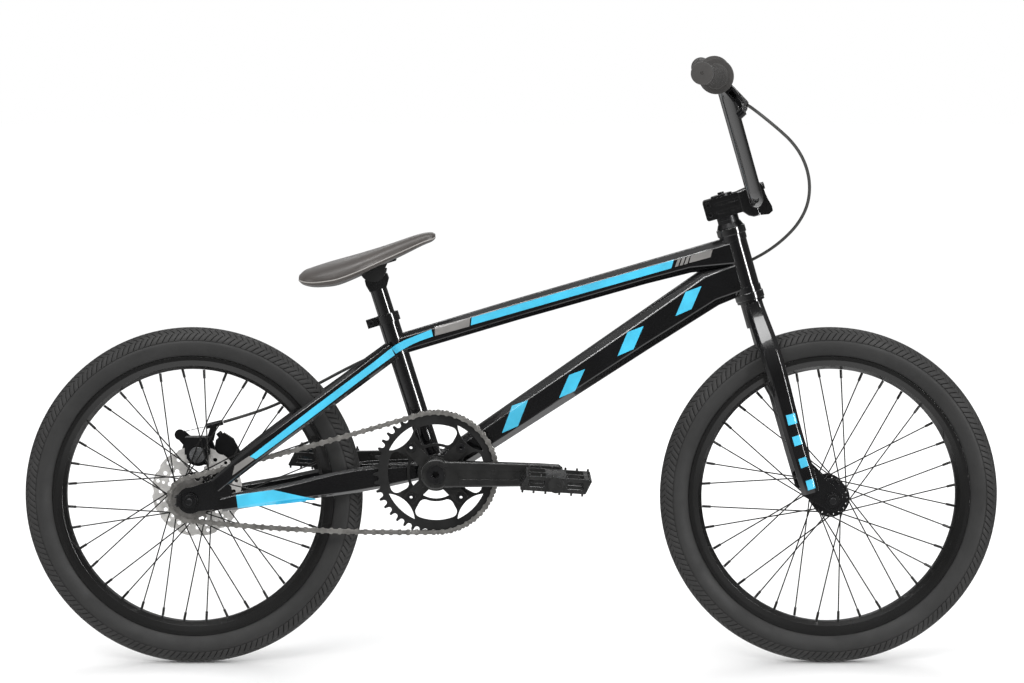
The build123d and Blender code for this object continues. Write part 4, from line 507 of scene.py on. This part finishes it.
def tyre(name, ax, body, node):
    bl = Builder()
    # carcass with smooth sidewalls, beads tucked behind the rim flanges
    prof = []
    for th in np.linspace(0, 74, 14):
        prof.append((SEC_R - DEPTH, th))
    prof += [(SEC_R - 0.0010, 76.5), (SEC_R - 0.0002, 80), (SEC_R - 0.0001, 86), (SEC_R - 0.0001, 92), (SEC_R - 0.0002, 99),
             (SEC_R - 0.0004, 107), (SEC_R - 0.0006, 115), (SEC_R - 0.0008, 123)]
    half = [(rho * sin(radians(t)), TYRE_MID + rho * cos(radians(t))) for rho, t in prof]
    half += [(0.01780, 0.2124), (0.01640, 0.2108), (0.01490, 0.2098), (0.01360, 0.2092), (0.01265, 0.2084), (0.01240, 0.2065),
             (0.0118, 0.2048), (0.0102, 0.2052), (0.0102, 0.2080), (0.0140, 0.2125), (0.0185, 0.2180), (0.0205, 0.2260),
             (0.0190, 0.2360), (0.0150, 0.2420), (0.0090, 0.2465), (0.0, 0.2480)]
    ring = half + [(-y, r) for y, r in half[-2:0:-1]]
    lathe(bl, (ax, 0, AXLE_Z), (0, 1, 0), [(y, r) for y, r in ring], 220, 0, closed=True)
    # the groove floor between the blocks gets a far darker rubber: painted shade in the recesses
    for f in range(len(bl.f)):
        c = np.mean([bl.v[0][i] for i in bl.f[f]], axis=0)
        rr = hypot(c[0] - ax, c[2] - AXLE_Z)
        if rr > TYRE_MID + 0.0060 and hypot(rr - TYRE_MID, c[1]) > SEC_R - DEPTH - 0.0004 and abs(c[1]) < SEC_R * sin(radians(74)):
            bl.mi[f] = 2
    # tread blocks
    step = 2 * pi / PITCHES
    b0 = 0.0005

    def block(u0, u1, w0, w1, slant, k, gap=0.0013, h=DEPTH, bev=0.0004):
        """u in pitches, w in degrees; slant in pitches over the block's width."""
        du = (u1 - u0)
        gu = gap / (step * TYRE_R)
        wl = (w1 - w0) * radians(1) * SEC_R
        gw = gap / wl
        ga = [gu / 2 / du - 0.03, gu / 2 / du, gu / 2 / du + 0.045, 1 - gu / 2 / du - 0.045, 1 - gu / 2 / du, 1 - gu / 2 / du + 0.03]
        gb = [gw / 2 - 0.02, gw / 2, gw / 2 + 0.05, 0.35, 0.65, 1 - gw / 2 - 0.05, 1 - gw / 2, 1 - gw / 2 + 0.02]
        hs = {0: -0.0004, 1: h - bev, 2: h}
        la = [0, 1, 2, 2, 1, 0]
        lb = [0, 1, 2, 2, 2, 2, 1, 0]
        verts = []
        for i, a in enumerate(ga):
            for j, b in enumerate(gb):
                th = radians(w0 + (w1 - w0) * b)
                ph = (k + u0 + du * a + slant * b) * step
                rho = SEC_R - DEPTH + hs[min(la[i], lb[j])]
                r = TYRE_MID + rho * cos(th)
                verts.append((ax + r * cos(ph), rho * sin(th), AXLE_Z + r * sin(ph)))
        nb = len(gb)
        faces = [(i * nb + j, i * nb + j + 1, (i + 1) * nb + j + 1, (i + 1) * nb + j) for i in range(len(ga) - 1) for j in range(nb - 1)]
        rim_ = [j for j in range(nb)] + [i * nb + nb - 1 for i in range(1, len(ga))] + [(len(ga) - 1) * nb + j for j in range(nb - 2, -1, -1)] \
            + [i * nb for i in range(len(ga) - 2, 0, -1)]
        faces.append(tuple(rim_))
        bl.add(verts, faces, 1)

    for k in range(PITCHES):
        for s in (-1, 1):
            # shoulder row leans one way, the row inside it the other
            block(0.0, 1.0, s * 45, s * 73, 0.85, k, gap=0.0014)
            block(0.5, 1.5, s * 21, s * 44, -0.80, k, gap=0.0014)
        # crown: paired slanted blocks
        block(0.0, 1.0, -20, 0, 0.6, k, gap=0.0014)
        block(0.5, 1.5, 0, 20, 0.6, k, gap=0.0014)
    o = bl.obj(name, [M["tyre"], M["tread"], M["groove"]], body, auto=50)
    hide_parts(node)
    return o


front_tyre = tyre("front_tyre_treaded", AXLE_X, "front_wheel", "front_tyre")
rear_tyre = tyre("rear_tyre_treaded", -AXLE_X, "rear_wheel", "rear_tyre")


# ---------------------------------------------------------------- saddle
SADDLE = [(-313.5, 581.0, 571.5, 52), (-306.0, 587.5, 566.0, 84), (-292.0, 592.6, 563.0, 106), (-275.0, 598.2, 563.2, 116),
          (-255.0, 604.0, 566.0, 118), (-228.0, 611.6, 576.5, 106), (-195.0, 621.8, 592.5, 76), (-160.0, 633.4, 609.5, 50),
          (-132.0, 642.0, 623.5, 38), (-118.0, 643.6, 629.5, 27), (-112.5, 641.0, 634.0, 13)]


def catmull(rows, t):
    n = len(rows)
    k = min(int(t * (n - 1)), n - 2)
    f = t * (n - 1) - k
    p = [np.array(rows[min(max(k + d, 0), n - 1)], float) for d in (-1, 0, 1, 2)]
    return 0.5 * (2 * p[1] + (p[2] - p[0]) * f + (2 * p[0] - 5 * p[1] + 4 * p[2] - p[3]) * f ** 2
                  + (3 * p[1] - p[0] - 3 * p[2] + p[3]) * f ** 3)


def saddle():
    bl = Builder()
    nst, nk = 72, 72
    verts, line = [], {-1: [], 1: []}
    for i in range(nst + 1):
        x, zt, zb, w = catmull(SADDLE, i / nst)
        zt, zb, w = zt / 1000, zb / 1000, max(w, 6.0) / 2000
        hem = zb + (zt - zb) * 0.30
        for k in range(nk):
            a = 2 * pi * k / nk
            c, q = cos(a), sin(a)
            yy = w * math.copysign(abs(c) ** 0.80, c)
            if q >= 0:
                z = hem + (zt - hem) * abs(q) ** 0.86
                # a shallow channel runs along the middle of the top
                z -= 0.0016 * math.exp(-(yy / 0.010) ** 2) * q * min(1.0, max(0.0, (-0.150 - x / 1000) / 0.05)) * (1 if x > -300 else 0.4)
            else:
                z = hem - (hem - zb) * abs(q) ** 0.55
                yy *= 1 - 0.10 * abs(q)
            verts.append((x / 1000, yy, z))
        for sgn in (-1, 1):
            line[sgn].append((x / 1000, sgn * (w + 0.0002), hem))
    faces, mi = [], []
    for i in range(nst):
        for k in range(nk):
            k2 = (k + 1) % nk
            faces.append((i * nk + k, i * nk + k2, (i + 1) * nk + k2, (i + 1) * nk + k))
            mi.append(1 if (nk * 0.56 < k < nk * 0.94) else 0)
    faces.append(tuple(range(nk)))
    faces.append(tuple(nst * nk + k for k in range(nk))[::-1])
    bl.add(verts, faces, 0)
    bl.mi[:len(mi)] = mi
    o = bl.obj("saddle_cover", [M["saddle"], M["plastic"]], "seat", auto=60)
    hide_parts("saddle")
    # stitched piping along the hem of the cover, in a light grey that also paints the highlight line along the edge:
    # partly real piping, partly painted highlight
    b2 = Builder()
    loop = line[-1][1:-1]
    tube_along(b2, [(p[0], p[1], p[2]) for p in loop], 0.0009, 8)
    loop = line[1][1:-1]
    tube_along(b2, [(p[0], p[1], p[2]) for p in loop], 0.0009, 8)
    b2.obj("saddle_piping", M["piping"], "seat")
    return o


# light grey piping: partly the cover's binding, partly a painted highlight along the saddle's edge
M["piping"] = rubber("saddle_piping", (0.30, 0.285, 0.27), rough=0.5, bump_scale=2000.0, bump=0.2, spec=0.4)
saddle()


# ---------------------------------------------------------------- grips
def grip(tag, sgn):
    p_in = turned(hp(274.5, 47.2, sgn * 172.0))
    p_end = turned(hp(290.6, 22.0, sgn * 351.0))
    e = (p_end - p_in).normalized()
    bl = Builder()
    prof = [(-0.128, 0.01115), (-0.128, 0.0240), (-0.1274, 0.0250), (-0.1251, 0.0250), (-0.1245, 0.0243), (-0.1245, 0.0181),
            (-0.1205, 0.0166)]
    w = -0.1195
    k = 0
    while w < -0.0045:
        # rows of fine ribs, parted by plain bands
        if k % 9 in (4,):
            prof += [(w, 0.0148), (w + 0.0030, 0.0148)]
            w += 0.0034
        else:
            prof += [(w, 0.0145), (w + 0.0005, 0.01565), (w + 0.0013, 0.0157), (w + 0.0018, 0.0145)]
            w += 0.0027
        k += 1
    prof += [(-0.0030, 0.0150), (-0.0022, 0.0156), (0.0018, 0.0156), (0.0028, 0.0149), (0.0030, 0.0138), (0.0030, 0.0024), (0.0018, 0.0020), (0.0018, 0.0)]
    # closed at the inner end by the wall of the bore
    prof = [(0.0004, 0.0), (0.0004, 0.01115)] + prof
    lathe(bl, p_end, e, prof, 56)
    o = bl.obj("grip_ribbed_" + tag, M["grip"], "fork", auto=38)
    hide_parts("grip_" + tag)


grip("right", -1)
grip("left", 1)


# ---------------------------------------------------------------- surface graphics, laid on the CAD surfaces
def tree_of(names):
    verts, polys, base = [], [], 0
    for n in names:
        me = NODES[n].data
        verts += [v.co.copy() for v in me.vertices]
        polys += [tuple(i + base for i in p.vertices) for p in me.polygons]
        base += len(me.vertices)
    return BVHTree.FromPolygons(verts, polys)


def decal(name, top, bot, targets, body, mat, side=-1, nu=60, nv=8, lift=0.00034, tree=None):
    """A thin film between two edge lines given in the side view (x, z), laid on the outer faces of CAD nodes."""
    tree = tree or tree_of(targets)

    def walk(line, t):
        d = [0.0]
        for a, b in zip(line, line[1:]):
            d.append(d[-1] + hypot(b[0] - a[0], b[1] - a[1]))
        t *= d[-1]
        for k in range(len(line) - 1):
            if t <= d[k + 1] + 1e-12:
                f = (t - d[k]) / max(d[k + 1] - d[k], 1e-12)
                return (line[k][0] + (line[k + 1][0] - line[k][0]) * f, line[k][1] + (line[k + 1][1] - line[k][1]) * f)
        return line[-1]
    outer, inner = [], []
    for i in range(nu + 1):
        a, b = walk(top, i / nu), walk(bot, i / nu)
        for j in range(nv + 1):
            t = j / nv
            x, z = a[0] + (b[0] - a[0]) * t, a[1] + (b[1] - a[1]) * t
            hit = tree.ray_cast(Vector((x, side * 0.5, z)), Vector((0, -side, 0)))
            p = hit[0] if hit[0] is not None else None
            outer.append(p)
    # points that miss take the depth of their nearest neighbour that hits
    ok = [k for k, p in enumerate(outer) if p is not None]
    if not ok:
        return None
    full = []
    for i in range(nu + 1):
        a, b = walk(top, i / nu), walk(bot, i / nu)
        for j in range(nv + 1):
            k = i * (nv + 1) + j
            t = j / nv
            x, z = a[0] + (b[0] - a[0]) * t, a[1] + (b[1] - a[1]) * t
            if outer[k] is None:
                near = min(ok, key=lambda q: abs(q - k))
                y = outer[near].y
            else:
                y = outer[k].y
            full.append((x, y + side * lift, z))
    n = len(full)
    verts = full + [(x, y - side * (lift + 0.0001), z) for x, y, z in full]
    faces = []
    w = nv + 1
    for i in range(nu):
        for j in range(nv):
            faces.append((i * w + j, i * w + j + 1, (i + 1) * w + j + 1, (i + 1) * w + j))
            faces.append((n + i * w + j, n + (i + 1) * w + j, n + (i + 1) * w + j + 1, n + i * w + j + 1))
    for i in range(nu):
        for j in (0, nv):
            a, b = i * w + j, (i + 1) * w + j
            faces.append((a, b, n + b, n + a))
    for j in range(nv):
        for i in (0, nu):
            a, b = i * w + j, i * w + j + 1
            faces.append((a, b, n + b, n + a))
    o = new_mesh(name, verts, faces, mat)
    outward(o)
    sharp_edges(o, 40)
    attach(o, body)
    return o


def px(u, v, y):
    """Side-view place of the point seen at image column u, row v on the plane at depth y, by the camera above."""
    f = 110.8 / 36.0 * 1024
    fwd = Vector((sin(yaw) * cos(pitch), cos(yaw) * cos(pitch), -sin(pitch)))
    right = Vector((cos(yaw), -sin(yaw), 0))
    up = right.cross(fwd)
    d = fwd * f + right * (u - 512) - up * (v - 341.5)
    c = Vector((-0.00554, -4.6644, 0.8644))
    t = (y - c.y) / d.y
    p = c + d * t
    return (p.x, p.z)


FRAME_TUBES = ["head_tube", "top_tube", "down_tube", "seat_tube", "bb_shell", "chainstay_right", "chainstay_left",
               "seatstay_right", "seatstay_left", "headset_cups"]
TREE = tree_of(FRAME_TUBES)
for s, tag in ((-1, "r"), (1, "l")):
    ys = s * -0.016 if s > 0 else -0.016

    def q(u, v, y=-0.016):
        return px(u, v, y)
    # long stripe: up the seatstay, over the seat tube and along the top tube to the badge
    hi_edge = [q(250.0, 456.5, -0.064), q(310.0, 410.0, -0.0545), q(345.0, 383.6, -0.041), q(375.0, 361.0, -0.029), q(388.0, 350.5, -0.022),
               q(395.7, 345.0), q(404.0, 340.5), q(420.0, 334.0), q(431.4, 329.5)]
    lo_edge = [q(256.0, 459.0, -0.064), q(321.7, 410.0, -0.0525), q(352.0, 386.7, -0.039), q(380.0, 365.5, -0.027), q(398.0, 352.5, -0.018),
               q(411.0, 345.0), q(420.0, 341.0), q(433.0, 336.5)]
    decal("stripe_rear_" + tag, hi_edge, lo_edge, None, "frame", M["cyan"], s, 110, 8, tree=TREE)
    decal("badge_stay_" + tag, [q(234.5, 466.0, -0.065), q(249.2, 455.8, -0.064)], [q(232.3, 475.5, -0.065), q(254.5, 459.3, -0.064)],
          None, "frame", M["grey"], s, 16, 6, tree=TREE)
    decal("badge_top_" + tag, [q(434.8, 327.0), q(470.3, 317.5)], [q(434.8, 336.0), q(469.3, 326.5)], None, "frame", M["grey"], s, 14, 6,
          tree=TREE)
    decal("stripe_top_" + tag, [q(471.7, 317.6), q(570, 289.3), q(673.8, 259.7)], [q(470.8, 325.4), q(570, 297.0), q(671.3, 268.2)], None,
          "frame", M["cyan"], s, 90, 8, tree=TREE)
    for k in range(3):
        u0 = 675.5 + k * 4.6
        decal("tick_%d_%s" % (k, tag), [q(u0 + 2.0, 259.6 - k * 1.25), q(u0 + 5.2, 258.7 - k * 1.25)], [q(u0 - 0.6, 267.0 - k * 1.25), q(u0 + 2.6, 266.1 - k * 1.25)],
              None, "frame", M["grey"], s, 3, 3, tree=TREE)
    decal("bar_top_" + tag, [q(691.0, 255.6), q(712.5, 249.6)], [q(689.0, 263.0), q(710.5, 257.2)], None, "frame", M["grey"], s, 10, 3, tree=TREE)
    decal("block_chainstay_" + tag, [q(236.2, 494.7, -0.06), q(273.3, 489.2, -0.055), q(315.8, 498.3, -0.045)],
          [q(238.0, 508.3, -0.06), q(273.6, 504.4, -0.055), q(315.8, 499.3, -0.045)], None, "frame", M["cyan"], s, 60, 16, lift=0.0005, tree=TREE)
    # four plain slanted blocks down the down tube
    for k, (u0, u1, v0, v1) in enumerate(((501, 529, 401, 432), (558, 586, 370, 397), (617, 644, 327, 355), (675, 702, 287, 315))):
        um = (u0 + u1) / 2
        dx = 9.0
        decal("block_down_%d_%s" % (k, tag), [q(um - 3.0, v0 + 5.0, -0.02), q(um + dx + 4.0, v0 - 1.0, -0.02)],
              [q(um - dx - 4.0, v1 + 1.0, -0.02), q(um + 3.0, v1 - 6.0, -0.02)], None, "frame", M["cyan"], s, 24, 24, lift=0.00045, tree=TREE)
FORK_TREE = tree_of(["fork_leg_right", "fork_leg_left"])
for s, tag in ((-1, "r"), (1, "l")):
    for k, (u0, u1, v0, v1) in enumerate(((785.5, 796, 412.5, 425), (791.5, 801, 434, 445.5), (797.5, 806.5, 455.5, 467), (804.5, 813.5, 477, 489))):
        decal("block_fork_%d_%s" % (k, tag), [px(u0, v0 + 2.5, -0.05), px(u1 - 1.5, v0, -0.05)], [px(u0 + 2.5, v1, -0.05), px(u1 + 1.0, v1 - 2.5, -0.05)],
              None, "fork", M["cyan"], s, 6, 6, tree=FORK_TREE)


# ---------------------------------------------------------------- stage
def stage_floor():
    s = 60.0
    o = new_mesh("floor", [(-s, -s, 0), (s, -s, 0), (s, s, 0), (-s, s, 0)], [(0, 1, 2, 3)], None or M["tyre"], smooth=False)
    o.data.materials.clear()
    fm = Mat("floor_white", (0.93, 0.93, 0.93), 0.9, spec=0.0)
    fm.tint(fm.noise(3.0, 2.0), (0.925, 0.925, 0.925), (0.935, 0.935, 0.935))
    o.data.materials.append(fm.m)
    o.visible_glossy = False
    return o


stage_floor()

world = bpy.data.worlds.new("studio")
scene.world = world
world.use_nodes = True
wn = world.node_tree
wn.nodes.clear()
w_out = wn.nodes.new("ShaderNodeOutputWorld")
w_bg = wn.nodes.new("ShaderNodeBackground")
w_tc = wn.nodes.new("ShaderNodeTexCoord")
w_sep = wn.nodes.new("ShaderNodeSeparateXYZ")
wn.links.new(w_tc.outputs["Generated"], w_sep.inputs[0])
w_map = wn.nodes.new("ShaderNodeMapRange")
w_map.inputs["From Min"].default_value = -1.0
w_map.inputs["From Max"].default_value = 1.0
wn.links.new(w_sep.outputs["Z"], w_map.inputs[0])
w_ramp = wn.nodes.new("ShaderNodeValToRGB")
stops = [(0.0, 1.5), (0.22, 0.9), (0.40, 0.16), (0.47, 0.06), (0.53, 0.07), (0.66, 0.16), (0.80, 0.26), (1.0, 0.60)]
e = w_ramp.color_ramp.elements
while len(e) < len(stops):
    e.new(0.5)
for k, (p, c) in enumerate(stops):
    e[k].position = p
    e[k].color = (c, c, c, 1)
wn.links.new(w_map.outputs[0], w_ramp.inputs[0])
wn.links.new(w_ramp.outputs[0], w_bg.inputs[0])
w_cam = wn.nodes.new("ShaderNodeBackground")
w_cam.inputs[0].default_value = (1, 1, 1, 1)
w_cam.inputs[1].default_value = 1.0
w_lp = wn.nodes.new("ShaderNodeLightPath")
w_mix = wn.nodes.new("ShaderNodeMixShader")
w_dif = wn.nodes.new("ShaderNodeBackground")
w_dif.inputs[0].default_value = (1, 1, 1, 1)
w_dif.inputs[1].default_value = 1.12
w_soft = wn.nodes.new("ShaderNodeMixShader")
wn.links.new(w_lp.outputs["Is Diffuse Ray"], w_soft.inputs[0])
wn.links.new(w_bg.outputs[0], w_soft.inputs[1])
wn.links.new(w_dif.outputs[0], w_soft.inputs[2])
wn.links.new(w_lp.outputs["Is Camera Ray"], w_mix.inputs[0])
wn.links.new(w_soft.outputs[0], w_mix.inputs[1])
wn.links.new(w_cam.outputs[0], w_mix.inputs[2])
wn.links.new(w_mix.outputs[0], w_out.inputs[0])
w_bg.inputs[1].default_value = 1.0


def area(name, loc, target, size, size_y, power, color=(1, 1, 1), spread=pi, gloss_only=False):
    l = bpy.data.lights.new(name, "AREA")
    l.shape = "RECTANGLE"
    l.size, l.size_y = size, size_y
    l.energy = power
    l.color = color
    l.spread = spread
    o = bpy.data.objects.new(name, l)
    o.location = loc
    o.rotation_mode = "QUATERNION"
    o.rotation_quaternion = (Vector(target) - Vector(loc)).to_track_quat("-Z", "Y")
    o.visible_diffuse = not gloss_only
    scene.collection.objects.link(o)
    return o


area("key_front", (-1.2, -4.0, 3.2), (0, 0, 0.4), 2.5, 1.2, 70)
area("strip_right", (3.1, -2.6, 1.0), (0, 0, 0.5), 0.55, 3.0, 170, gloss_only=True)
area("strip_left", (-3.8, -1.2, 0.9), (0, 0, 0.5), 0.30, 2.2, 30, gloss_only=True)
area("back_soft", (0.5, 3.5, 2.6), (0, 0, 0.4), 3.0, 1.2, 40)
area("top_box", (0.0, -0.95, 3.1), (0, 0, 0.4), 4.2, 0.30, 110, gloss_only=True)

scene.view_settings.view_transform = "Standard"
scene.view_settings.look = "None"
scene.view_settings.exposure = 0.0
